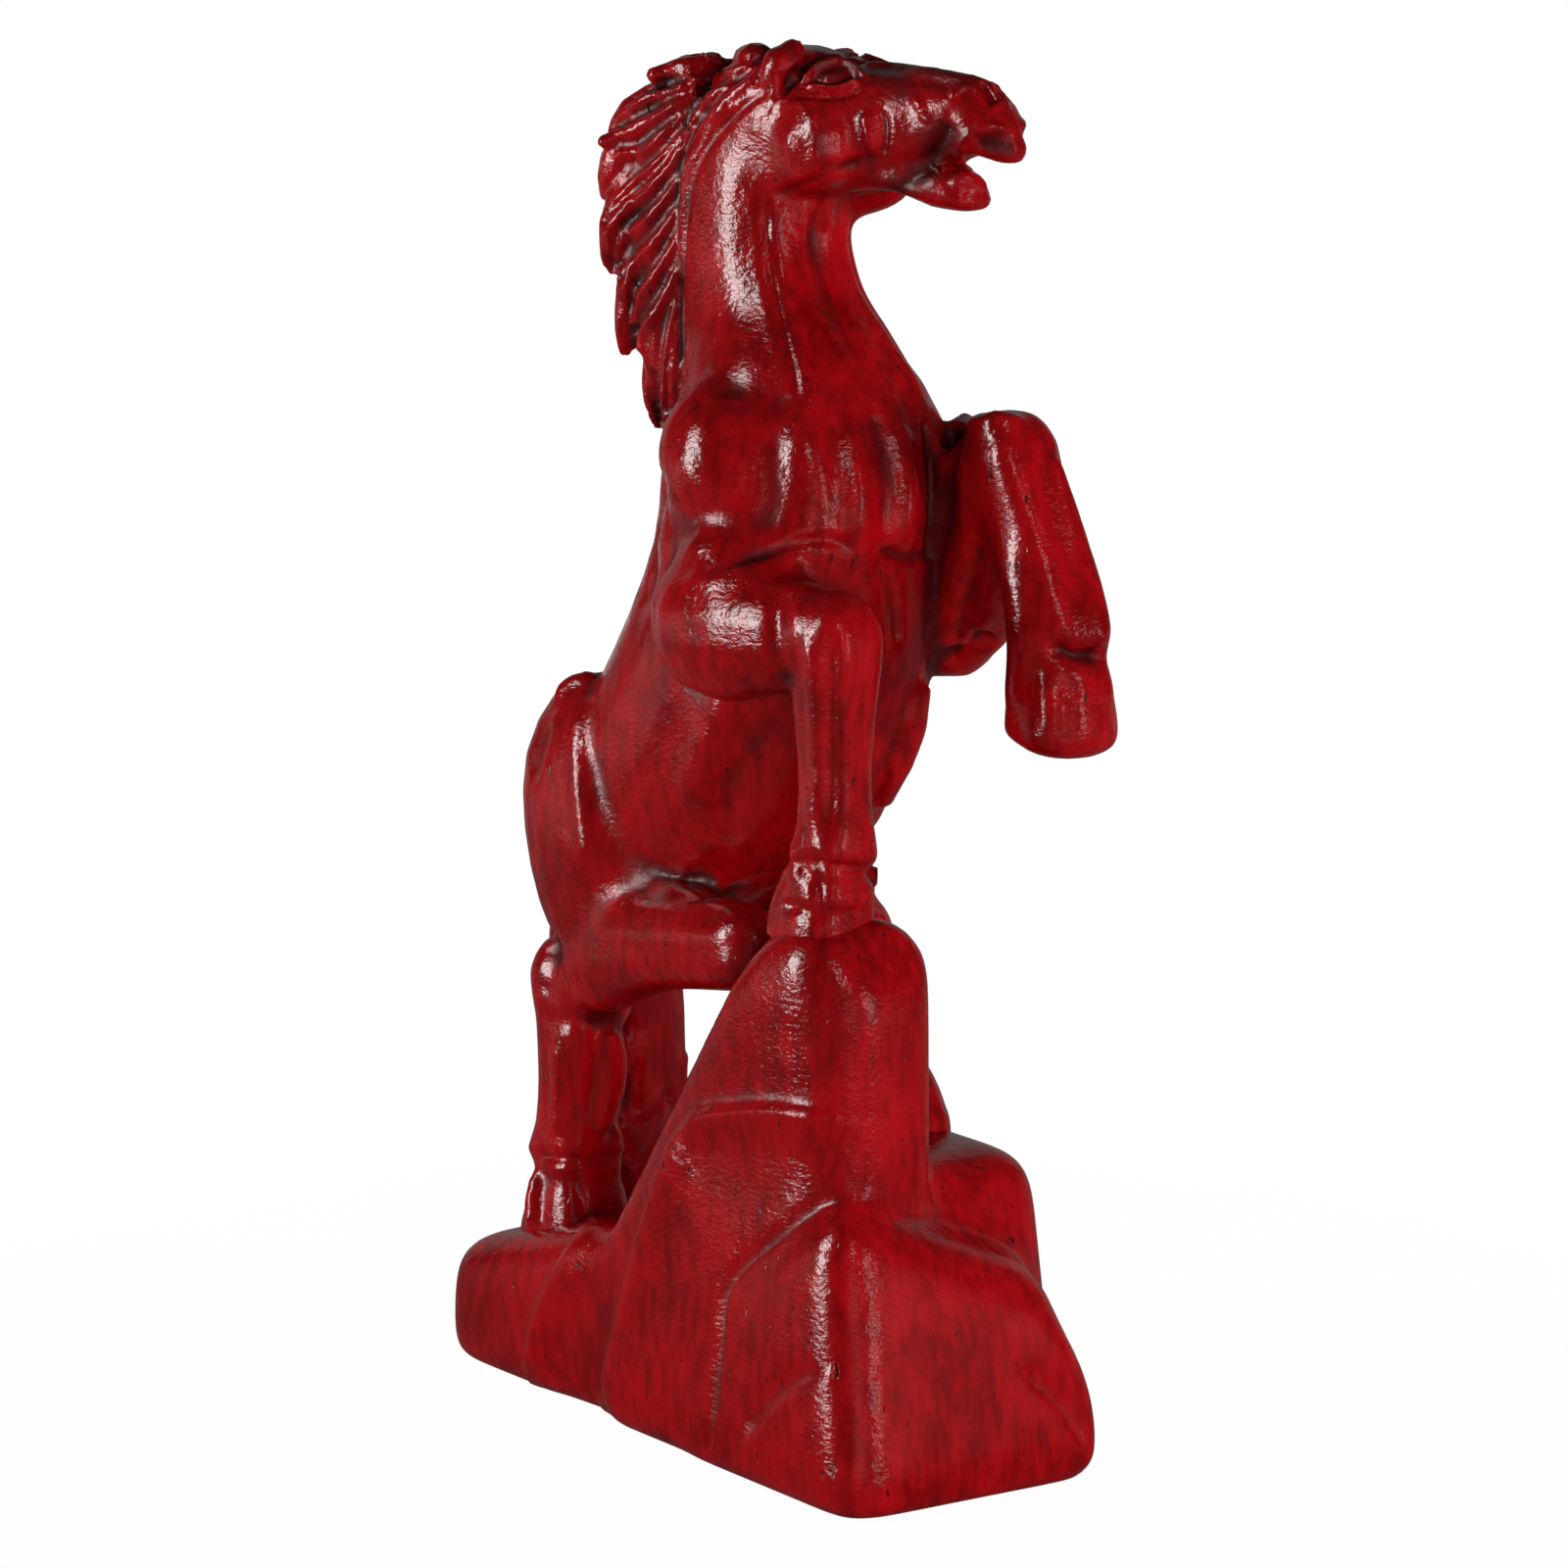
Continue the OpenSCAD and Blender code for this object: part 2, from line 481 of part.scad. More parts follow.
module tail_block() block([-far, -hip_seam - 1, tail_foot_z], [-tail_seam, hip_seam + 1, far]);

// Rock blocks, worn round at their edges: the listed points lie edge_r inside the faces
ball_sides = 12;
foot_z = 0.55 * edge_r;
module rocks(points) intersection() {
    hull() for (p = points)
        translate(p) sphere(edge_r / cos(180 / ball_sides), $fn = ball_sides);
    half(0);
}
module behind(toe, lean) translate([toe, 0, 0]) rotate([0, lean, 0]) block([-far, -far, -far], [0, far, far]);
module ahead(toe, lean) translate([toe, 0, 0]) rotate([0, lean, 0]) block([0, -far, -far], [far, far, far]);
module leftward() block([-far, left_seam, -far], [far, far, far]);
rock_back = edge_r - base_back;
rock_front = base_front - edge_r;
rock_right = edge_r - base_right;
rock_left = base_left - edge_r;
module ledge_form() rocks([
    for (y = [rock_right + 1.2, rock_left - 1]) each [
        [rock_back, y, foot_z],
        [ledge_end, y, foot_z],
        [rock_back + 0.5, y, ledge_top(rock_back) - edge_r],
        [ledge_end, y, ledge_top(ledge_end) - edge_r]]]);
corner_in = 3.2;
module peak_form() {
    rocks([
        for (s = [[rock_right + 1.3, corner_in], [left_seam + 0.7 - edge_r, 0]]) each [
            [edge_r - slab_toe - 3, s[0], foot_z],
            [peak_front - edge_r, s[0] + s[1], foot_z],
            [peak_back - 1, s[0], peak_z - crown_h - edge_r],
            [peak_front - 0.5 - edge_r, s[0] + s[1], peak_z - crown_h - edge_r]],
        for (x = [-3, 3.4], y = [-2.3, 2.7]) [right_sole[0] + x, y - fore_y, peak_z - edge_r]]);
    rocks([
        for (s = [[rock_right, corner_in], [rock_right + 9.5, 0]]) each [
            [edge_r - 4, s[0], foot_z],
            [peak_front - 4, s[0], foot_z],
            [edge_r + 5, s[0] + 0.8, step_z - (s[1] > 0 ? 2.5 : 0) - edge_r],
            [peak_front - 3 - edge_r, s[0] + 0.8 + 0.8 * s[1], step_z - edge_r]]]);
}
module boulder_form() rocks([
    [edge_r + boulder_toe - 3, rock_right - 0.5, foot_z],
    [rock_front, rock_right - 0.8, foot_z],
    [edge_r + boulder_toe - 3, rock_left - 3, foot_z],
    [rock_front + 0.4, rock_left - 2, foot_z],
    [peak_front - 10, rock_right + 0.5, boulder_z - 3 - edge_r],
    [rock_front - 5, rock_right + 1.5, boulder_z - edge_r],
    [peak_front - 10, rock_left - 8, boulder_z - 4 - edge_r],
    [rock_front - 2.5, rock_left - 5, boulder_z - 8 - edge_r]]);
module left_form() rocks([
    for (y = [left_seam - 3, rock_left]) each [
        [-slab_toe, y, foot_z],
        [peak_front - 3, y, foot_z],
        [-8, y, left_z - 14],
        [edge_r - 2, y, left_z - edge_r],
        [peak_front - 4 - edge_r, y, left_z - edge_r]]]);

// Dowels: middle point on the glue face and axis
limb_pins = [
    [[-3, 0, neck_seam_z], [0, 0, 1]], [[7, 0, neck_seam_z], [0, 0, 1]],
    [[9, -right_fore_seam, elbow_z], [0, 1, 0]], [[11, left_fore_seam, 97], [0, 1, 0]],
    [[-19, -hip_seam, 60], [0, 1, 0]], [[-19, hip_seam, 60], [0, 1, 0]],
    [[-tail_seam, 0.5, 53], [1, 0, 0]],
    for (z = [118, poll_z - 9]) [-crest_seam * crest_axis + [0, 0, z], crest_axis]];
function foot_pin(sole, fetlock) = [sole + 0.2 * [fetlock[0] - sole[0], fetlock[1] - sole[1], 0], [0, 0, 1]];
hoof_pins = [
    foot_pin(right_sole, right_fetlock),
    foot_pin(right_hind_sole, right_hind_fetlock),
    foot_pin(left_hind_sole, left_hind_fetlock)];
function on_slope(toe, lean, y, z) = [toe + z * tan(lean), y, z];
rock_pins = [
    [on_slope(-slab_toe, slab_lean, -9, 7), [1, 0, 0]],
    [on_slope(-slab_toe, slab_lean, 5, 7), [1, 0, 0]],
    [on_slope(boulder_toe, boulder_lean, -12, 9), [1, 0, 0]],
    [[peak_front - 2, 4, 9], [1, 0, 0]],
    [[4, left_seam, 18], [0, 1, 0]]];
module rods(pins, d, l) for (p = pins)
    translate(p[0]) rotate([0, acos(p[1][2]), atan2(p[1][1], p[1][0])])
        cylinder(d = d, h = l, center = true, $fn = 32);
module limb_bores() rods(limb_pins, dowel_d + 2 * dowel_play, dowel_l + 2 * dowel_play);
module hoof_bores() rods(hoof_pins, hoof_dowel_d + 2 * dowel_play, hoof_dowel_l + 2 * dowel_play);
module rock_bores() rods(rock_pins, rock_dowel_d + 2 * dowel_play, rock_dowel_l + 2 * dowel_play);

module body() color(wood) difference() {
    torso();
    neck_block();
    mane_block();
    foreleg_right_block();
    foreleg_left_block();
    hind_block(-1);
    hind_block(1);
    tail_block();
    limb_bores();
}
module neck_and_head() color(wood) difference() {
    intersection() {
        union() {
            torso();
            head();
        }
        neck_block();
    }
    mane_block();
    limb_bores();
}
module mane() color(wood) difference() {
    intersection() {
        union() {
            torso();
            mane_form();
        }
        mane_block();
    }
    limb_bores();
}
module foreleg_right() color(wood) difference() {
    intersection() {
        union() {
            torso();
            foreleg_right_form();
        }
        foreleg_right_block();
    }
    peak_form();
    limb_bores();
    hoof_bores();
}
module foreleg_left() color(wood) difference() {
    intersection() {
        union() {
            torso();
            foreleg_left_form();
        }
        foreleg_left_block();
    }
    limb_bores();
}
module hind_leg_right() color(wood) difference() {
    intersection() {
        union() {
            torso();
            hind_leg_right_form();
        }
        hind_block(-1);
    }
    tail_form();
    ledge_form();
    limb_bores();
    hoof_bores();
}
module hind_leg_left() color(wood) difference() {
    intersection() {
        union() {
            torso();
            hind_leg_left_form();
        }
        hind_block(1);
    }
    tail_form();
    left_form();
    limb_bores();
    hoof_bores();
}
module tail() color(wood) difference() {
    tail_form();
    block([-tail_seam, -far, tail_foot_z], [far, far, far]);
    ledge_form();
    limb_bores();
}
module rock_peak() color(wood) difference() {
    peak_form();
    behind(-slab_toe, slab_lean);
    ahead(boulder_toe, boulder_lean);
    leftward();
    hoof_bores();
    rock_bores();
}
module rear_ledge() color(wood) difference() {
    ledge_form();
    ahead(-slab_toe, slab_lean);
    hoof_bores();
    rock_bores();
}
module front_boulder() color(wood) difference() {
    boulder_form();
    behind(boulder_toe, boulder_lean);
    left_share();
    rock_bores();
}
module left_share() intersection() {
    left_form();
    leftward();
}
module left_boulder() color(wood) difference() {
    left_share();
    behind(-slab_toe, slab_lean);
    hoof_bores();
    rock_bores();
}
module limb_dowels() color(dowel_wood) rods(limb_pins, dowel_d, dowel_l);
module hoof_dowels() color(dowel_wood) rods(hoof_pins, hoof_dowel_d, hoof_dowel_l);
module rock_dowels() color(dowel_wood) rods(rock_pins, rock_dowel_d, rock_dowel_l);

body();
neck_and_head();
mane();
foreleg_right();
foreleg_left();
hind_leg_right();
hind_leg_left();
tail();
rock_peak();
rear_ledge();
front_boulder();
left_boulder();
limb_dowels();
hoof_dowels();
rock_dowels();
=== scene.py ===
# A rearing horse on a rock, carved in wood and finished in red lacquer.
# Lengths are millimetres in the part's frame; those of materials, floor and backdrop are metres.
# Points of rolls and strokes are places in the 1600 x 1600 view.
import math

import bpy
import numpy as np
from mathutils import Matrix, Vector
from mathutils.bvhtree import BVHTree
from mathutils.kdtree import KDTree


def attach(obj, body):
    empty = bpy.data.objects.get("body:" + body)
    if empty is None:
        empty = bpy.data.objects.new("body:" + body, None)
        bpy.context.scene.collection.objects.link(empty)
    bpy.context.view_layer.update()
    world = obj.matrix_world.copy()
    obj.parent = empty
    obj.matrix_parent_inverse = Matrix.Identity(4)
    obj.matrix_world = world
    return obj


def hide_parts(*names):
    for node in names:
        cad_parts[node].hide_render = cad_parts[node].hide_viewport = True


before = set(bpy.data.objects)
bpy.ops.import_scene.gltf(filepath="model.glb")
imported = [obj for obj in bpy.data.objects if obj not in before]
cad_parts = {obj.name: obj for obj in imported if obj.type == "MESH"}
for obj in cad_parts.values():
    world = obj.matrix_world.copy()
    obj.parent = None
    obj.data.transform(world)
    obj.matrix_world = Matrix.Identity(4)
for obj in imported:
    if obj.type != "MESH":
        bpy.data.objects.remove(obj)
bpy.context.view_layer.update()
scene = bpy.context.scene
mm = 0.001

# The camera stands where the picture was taken.
shot = {
    "turn": 55, "rise": 11, "distance": 750, "target": (1, 0, 66),
    "focalPixels": 7425, "framePixels": 1600, "sensor": 36,
}
turn = math.radians(shot["turn"])
rise = math.radians(shot["rise"])
backWay = np.array([math.sin(turn) * math.cos(rise), -math.cos(turn) * math.cos(rise), math.sin(rise)])
rightWay = np.array([math.cos(turn), math.sin(turn), 0.0])
upWay = np.cross(backWay, rightWay)
eyeSpot = np.array(shot["target"]) + shot["distance"] * backWay

bpy.ops.object.camera_add(location=tuple(eyeSpot * mm), rotation=(math.pi / 2 - rise, 0, turn))
camera = bpy.context.active_object
camera.name = "photoCamera"
camera.data.sensor_width = shot["sensor"]
camera.data.lens = shot["sensor"] * shot["focalPixels"] / shot["framePixels"]
camera.data.clip_start = 0.01
camera.data.clip_end = 20
scene.camera = camera
print("camera set")


# Small helpers for selecting, reading and moving meshes.
def pick(piece):
    bpy.ops.object.select_all(action="DESELECT")
    piece.select_set(True)
    bpy.context.view_layer.objects.active = piece


def enter(mode):
    bpy.ops.object.mode_set(mode=mode)


def rowsOf(rows, key, width, kind=np.float32):
    flat = np.empty(len(rows) * width, kind)
    rows.foreach_get(key, flat)
    return flat.reshape(-1, width)


def spotsOf(piece):
    return rowsOf(piece.data.vertices, "co", 3).astype(np.float64) / mm


def placeSpots(piece, spots):
    piece.data.vertices.foreach_set("co", (spots * mm).astype(np.float32).ravel())
    piece.data.update()


def normalsOf(piece):
    return rowsOf(piece.data.vertex_normals, "vector", 3).astype(np.float64)


def linksOf(piece):
    return rowsOf(piece.data.edges, "vertices", 2, np.int32)


def averaged(values, links):
    count = len(values)
    first, second = links[:, 0], links[:, 1]
    shares = np.bincount(first, minlength=count) + np.bincount(second, minlength=count)
    total = np.empty_like(values)
    for k in range(values.shape[1]):
        total[:, k] = np.bincount(first, values[second, k], count)
        total[:, k] += np.bincount(second, values[first, k], count)
    return total / np.maximum(shares, 1)[:, None]


smoothing = {"shrink": 0.5, "grow": -0.52}  # the second half step gives the size back
weld = 0.002  # corners closer than this are one


def relaxed(spots, links, rounds, weight):
    for step in range(rounds):
        for pull in smoothing.values():
            spots = spots + pull * weight[:, None] * (averaged(spots, links) - spots)
    return spots


def lumpOf(name, nodeNames, voxel, rolls):
    bpy.ops.object.select_all(action="DESELECT")
    for roll in rolls:
        roll.select_set(True)
    for nodeName in nodeNames:
        copy = bpy.data.objects.new(name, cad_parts[nodeName].data.copy())
        scene.collection.objects.link(copy)
        copy.select_set(True)
        bpy.context.view_layer.objects.active = copy
    bpy.ops.object.join()
    lump = bpy.context.active_object
    lump.name = name
    lump.data.materials.clear()
    enter("EDIT")
    bpy.ops.mesh.select_all(action="SELECT")
    bpy.ops.mesh.remove_doubles(threshold=weld * mm)
    enter("OBJECT")
    lump.data.remesh_voxel_size = voxel * mm
    lump.data.use_remesh_fix_poles = False
    bpy.ops.object.voxel_remesh()
    enter("EDIT")
    bpy.ops.mesh.separate(type="LOOSE")
    enter("OBJECT")
    shells = sorted(bpy.context.selected_objects, key=lambda shell: len(shell.data.vertices))
    for shell in shells[:-1]:
        bpy.data.objects.remove(shell)
    pick(shells[-1])
    shells[-1].name = name
    return shells[-1]


def closedMesh(name, corners, faces):
    mesh = bpy.data.meshes.new(name)
    mesh.from_pydata(corners, [], faces)
    piece = bpy.data.objects.new(name, mesh)
    scene.collection.objects.link(piece)
    pick(piece)
    enter("EDIT")
    bpy.ops.mesh.select_all(action="SELECT")
    bpy.ops.mesh.normals_make_consistent(inside=False)
    enter("OBJECT")
    return piece


def finer(piece, inside=None):
    pick(piece)
    if inside is None:
        modifier = piece.modifiers.new("finer", "SUBSURF")
        modifier.levels = 1
        bpy.ops.object.modifier_apply(modifier=modifier.name)
        return
    chosen = inside(spotsOf(piece))
    enter("EDIT")
    bpy.ops.mesh.select_all(action="DESELECT")
    enter("OBJECT")
    piece.data.vertices.foreach_set("select", chosen)
    enter("EDIT")
    bpy.ops.mesh.select_mode(type="VERT")
    bpy.ops.mesh.subdivide(number_cuts=1)
    enter("OBJECT")


def splined(points, gap):
    points = np.array(points, float)
    ends = np.vstack([2 * points[0] - points[1], points, 2 * points[-1] - points[-2]])
    run = []
    for k in range(1, len(ends) - 2):
        a, b, c, d = ends[k - 1:k + 3]
        parts = max(2, int(np.linalg.norm(c - b) / gap))
        for t in np.arange(parts) / parts:
            run.append(b + 0.5 * t * (c - a + t * (2 * a - 5 * b + 4 * c - d + t * (3 * (b - c) + d - a))))
    run.append(points[-1])
    return np.array(run)


def treeOf(nodeNames):
    corners, faces = [], []
    for nodeName in nodeNames:
        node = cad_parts[nodeName]
        start = len(corners)
        corners += [tuple(spot) for spot in spotsOf(node)]
        faces += [tuple(start + k for k in face.vertices) for face in node.data.polygons]
    return BVHTree.FromPolygons(corners, faces)


def seenOn(tree, points, gap):
    path, facing = [], []
    for u, v in splined(points, gap):
        middle = shot["framePixels"] / 2
        way = -backWay * shot["focalPixels"] + rightWay * (u - middle) - upWay * (v - middle)
        hit, normal, face, far = tree.ray_cast(Vector(eyeSpot), Vector(way / np.linalg.norm(way)))
        if hit is None and path:
            hit = eyeSpot + way * ((path[-1] - eyeSpot) @ backWay) / (way @ backWay)
            normal = facing[-1]
        if hit is not None:
            path.append(np.array(hit))
            facing.append(np.array(normal))
    return np.array(path), np.array(facing)


def acrossMiddle(path):
    return path * np.array([1, -1, 1])


def twinOn(tree, path, facing):
    # the same run on the far side, met by a ray from the mirrored eye
    other, ways = [], []
    eye = acrossMiddle(eyeSpot)
    for spot, normal in zip(acrossMiddle(path), acrossMiddle(facing)):
        hit, way, face, far = tree.ray_cast(Vector(eye), Vector(spot - eye).normalized())
        if hit is None or (hit - Vector(spot)).length > rollForm["twinReach"]:
            hit, way = spot, normal
        other.append(np.array(hit))
        ways.append(np.array(way))
    return np.array(other), np.array(ways)


rollForm = {"sides": 10, "gap": 6, "sink": 0.6, "beadDepth": 0.12, "cap": 0.7, "twinReach": 5}
tiny = 1e-9


def rolled(name, path, facing, thick, sink, beads=0):
    # a tapering roll of clay laid along a run of surface points
    sides, count = rollForm["sides"], len(path)
    share = np.linspace(0, 1, count)
    wide = np.interp(share, np.linspace(0, 1, len(thick)), thick)
    if beads:
        wide = wide * (1 + rollForm["beadDepth"] * np.sin(2 * math.pi * beads * share))
    middle = path - facing * (sink * wide)[:, None]
    along = np.gradient(middle, axis=0)
    along /= np.linalg.norm(along, axis=1)[:, None] + tiny
    across = np.cross(along, facing)
    across /= np.linalg.norm(across, axis=1)[:, None] + tiny
    out = np.cross(across, along)
    corners = [tuple((middle[0] - along[0] * wide[0] * rollForm["cap"]) * mm)]
    for k in range(count):
        for s in range(sides):
            a = 2 * math.pi * s / sides
            spoke = math.cos(a) * across[k] + math.sin(a) * out[k]
            corners.append(tuple((middle[k] + wide[k] * spoke) * mm))
    corners.append(tuple((middle[-1] + along[-1] * wide[-1] * rollForm["cap"]) * mm))
    faces = []
    for s in range(sides):
        n = (s + 1) % sides
        faces.append((0, 1 + n, 1 + s))
        for k in range(count - 1):
            a = 1 + k * sides
            faces.append((a + s, a + n, a + sides + n, a + sides + s))
        a = 1 + (count - 1) * sides
        faces.append((a + s, a + n, a + sides))
    return closedMesh(name, corners, faces)


def rollsOn(tree, plan, twins=False):
    made = []
    for name, roll in plan.items():
        path, facing = seenOn(tree, roll["at"], rollForm["gap"])
        how = (roll["thick"], roll.get("sink", rollForm["sink"]), roll.get("beads", 0))
        made.append(rolled(name, path, facing, *how))
        if roll.get("twin", twins):
            made.append(rolled(name + "Twin", *twinOn(tree, path, facing), *how))
    return made


# A stroke fades to both sides, more steeply on one if it leans, and towards its ends if it tapers.
pressing = {"reach": 2.4, "steep": 0.3, "facing": 2.5, "endRise": 6, "endShare": 0.25, "gap": 5}
# a stroke's stain value darkens the colour, both for real stains and for painted shade
strokeKeys = ("lift", "wide", "stainAndShade", "lean", "taper")


class Clay:
    # a lump being carved: strokes are collected as moves along the lump's own normals
    def __init__(self, piece, skin):
        self.piece = piece
        corners = [tuple(spot) for spot in spotsOf(skin)]
        faces = [tuple(face.vertices) for face in skin.data.polygons]
        self.tree = BVHTree.FromPolygons(corners, faces)
        self.spots = spotsOf(piece)
        self.normals = normalsOf(piece)
        self.moves = np.zeros_like(self.spots)
        self.stainsAndShade = np.zeros(len(self.spots))

    def laid(self, points):
        path, facing = [], []
        for spot in points:
            hit, normal, face, far = self.tree.find_nearest(Vector(spot))
            path.append(hit)
            facing.append(normal)
        return np.array(path), np.array(facing)

    def press(self, path, facing, wide, taper, lift=0, stainAndShade=0, lean=0):
        if len(path) == 0:
            return
        reach = pressing["reach"] * wide
        low, high = path.min(0) - reach, path.max(0) + reach
        near = np.flatnonzero(((self.spots > low) & (self.spots < high)).all(1))
        if len(near) == 0:
            return
        spots = self.spots[near]
        best = np.full(len(near), np.inf)
        along = np.zeros(len(near))
        side = np.zeros(len(near))
        agree = np.zeros(len(near))
        last = max(len(path) - 1, 1)
        for k in range(last):
            start = path[k]
            step = path[min(k + 1, len(path) - 1)] - start
            share = np.clip((spots - start) @ step / max(step @ step, tiny), 0, 1)
            off = spots - start - share[:, None] * step
            apart = (off * off).sum(1)
            won = apart < best
            best[won] = apart[won]
            along[won] = (k + share[won]) / last
            side[won] = (off @ np.cross(facing[k], step))[won]
            agree[won] = (self.normals[near] @ facing[k])[won]
        spread = np.full(len(near), float(wide))
        if lean:
            spread[side * lean < 0] = pressing["steep"] * wide
        weight = np.exp(-(np.sqrt(best) / spread) ** 2) * np.clip(agree * pressing["facing"], 0, 1)
        if taper and len(path) > 2:
            toEnd = np.minimum(along, 1 - along)
            weight *= np.clip(pressing["endRise"] * toEnd + pressing["endShare"], 0, 1)
        self.moves[near] += (lift * weight)[:, None] * self.normals[near]
        # the darkening kept here is stain and painted shade
        self.stainsAndShade[near] = np.maximum(self.stainsAndShade[near], stainAndShade * weight)

    def carve(self, strokes, twin=None):
        for stroke in strokes.values():
            how = {key: stroke[key] for key in strokeKeys if key in stroke}
            how.setdefault("taper", len(stroke["at"]) > 2)
            path, facing = seenOn(self.tree, stroke["at"], pressing["gap"])
            self.press(path, facing, **how)
            if twin and len(path) and stroke.get("twin", True):
                path, facing = self.laid(twin(path))
                how["lean"] = -how.get("lean", 0)
                self.press(path, facing, **how)

    def settle(self):
        spots = self.spots + self.moves
        placeSpots(self.piece, relaxed(spots, linksOf(self.piece), 1, np.ones(len(spots))))


# The head's own frame, turned to the horse's left.
headFrame = {"at": np.array([-1.0, 0.0, 135.0]), "yaw": math.radians(18)}


def headSpots(spots):
    x, y, z = (spots - headFrame["at"]).T
    c, s = math.cos(headFrame["yaw"]), math.sin(headFrame["yaw"])
    return np.column_stack([c * x + s * y, c * y - s * x, z])


def fromHead(spots):
    x, y, z = np.asarray(spots, float).T
    c, s = math.cos(headFrame["yaw"]), math.sin(headFrame["yaw"])
    return np.column_stack([c * x - s * y, s * x + c * y, z]) + headFrame["at"]


def acrossHead(path):
    return fromHead(headSpots(path) * np.array([1, -1, 1]))


# The horse: all its blocks as one lump, with rolls laid on.
horseNodes = [
    "body", "neck_and_head", "mane", "foreleg_right", "foreleg_left",
    "hind_leg_right", "hind_leg_left", "tail",
]
horseClay = {"voxel": 0.5, "rounds": 45, "soleDrop": 1.1}
plainTree = treeOf(horseNodes)
maneRolls = {
    "paddle": {"at": [(735, 62), (705, 64), (680, 69), (660, 75)], "thick": (0.9, 1.3, 1.3, 1.0)},
    "secondLock": {"at": [(730, 78), (694, 91), (658, 103), (641, 115)], "thick": (0.8, 1.3, 1.2, 0.7)},
    "flickTop": {
        "at": [(720, 96), (684, 110), (646, 131), (626, 139), (611, 145)],
        "thick": (0.8, 1.2, 1.2, 1.0, 0.7),
    },
    "flickFoot": {"at": [(710, 110), (680, 135), (655, 153), (630, 157)], "thick": (0.7, 1.1, 1.0, 0.6)},
    "fifthLock": {
        "at": [(704, 126), (675, 164), (645, 189), (627, 208), (620, 224)],
        "thick": (0.8, 1.3, 1.3, 1.0, 0.6),
    },
    "sixthLock": {
        "at": [(698, 150), (670, 184), (636, 214), (621, 234), (622, 258)],
        "thick": (0.8, 1.3, 1.3, 1.1, 0.6),
    },
    "seventhLock": {
        "at": [(695, 180), (665, 219), (637, 243), (629, 272), (634, 296)],
        "thick": (0.8, 1.3, 1.2, 1.0, 0.6),
    },
    "eighthLock": {"at": [(692, 210), (670, 243), (647, 268), (637, 297)], "thick": (0.7, 1.1, 1.0, 0.5)},
    "ninthLock": {"at": [(690, 243), (670, 278), (649, 306), (645, 334)], "thick": (0.8, 1.3, 1.2, 0.6)},
    "tenthLock": {"at": [(688, 278), (672, 312), (656, 337), (653, 359)], "thick": (0.8, 1.3, 1.3, 1.0)},
    "lowLock": {
        "at": [(688, 312), (680, 347), (676, 380), (675, 413), (679, 438)],
        "thick": (0.7, 1.1, 1.1, 1.0, 0.6),
    },
    "rootLock": {"at": [(690, 340), (687, 376), (686, 414)], "thick": (0.5, 0.8, 0.5)},
    "rootStrip": {
        "at": [(782, 62), (770, 78), (742, 101), (720, 129), (704, 158), (697, 190), (694, 230)],
        "thick": (0.9, 1.1, 1.1, 1.0, 0.9, 0.7, 0.5), "beads": 9,
    },
    "forelock": {"at": [(744, 60), (760, 58), (777, 59)], "thick": (1.7, 2.0, 1.7), "sink": 0.3},
    "forelockFoot": {"at": [(740, 74), (757, 70), (773, 69)], "thick": (1.0, 1.3, 1.0), "sink": 0.5},
    "pollLock": {"at": [(752, 84), (728, 98), (710, 118), (699, 146)], "thick": (0.8, 1.2, 1.1, 0.7)},
}
earRoll = {
    "at": [(786, 100), (793, 80), (803, 63), (815, 55), (826, 55)],
    "thick": (1.0, 1.8, 2.1, 1.8, 1.0), "sink": 0.5, "twinThick": (0.5, 0.7, 0.7, 0.5, 0.3),
}
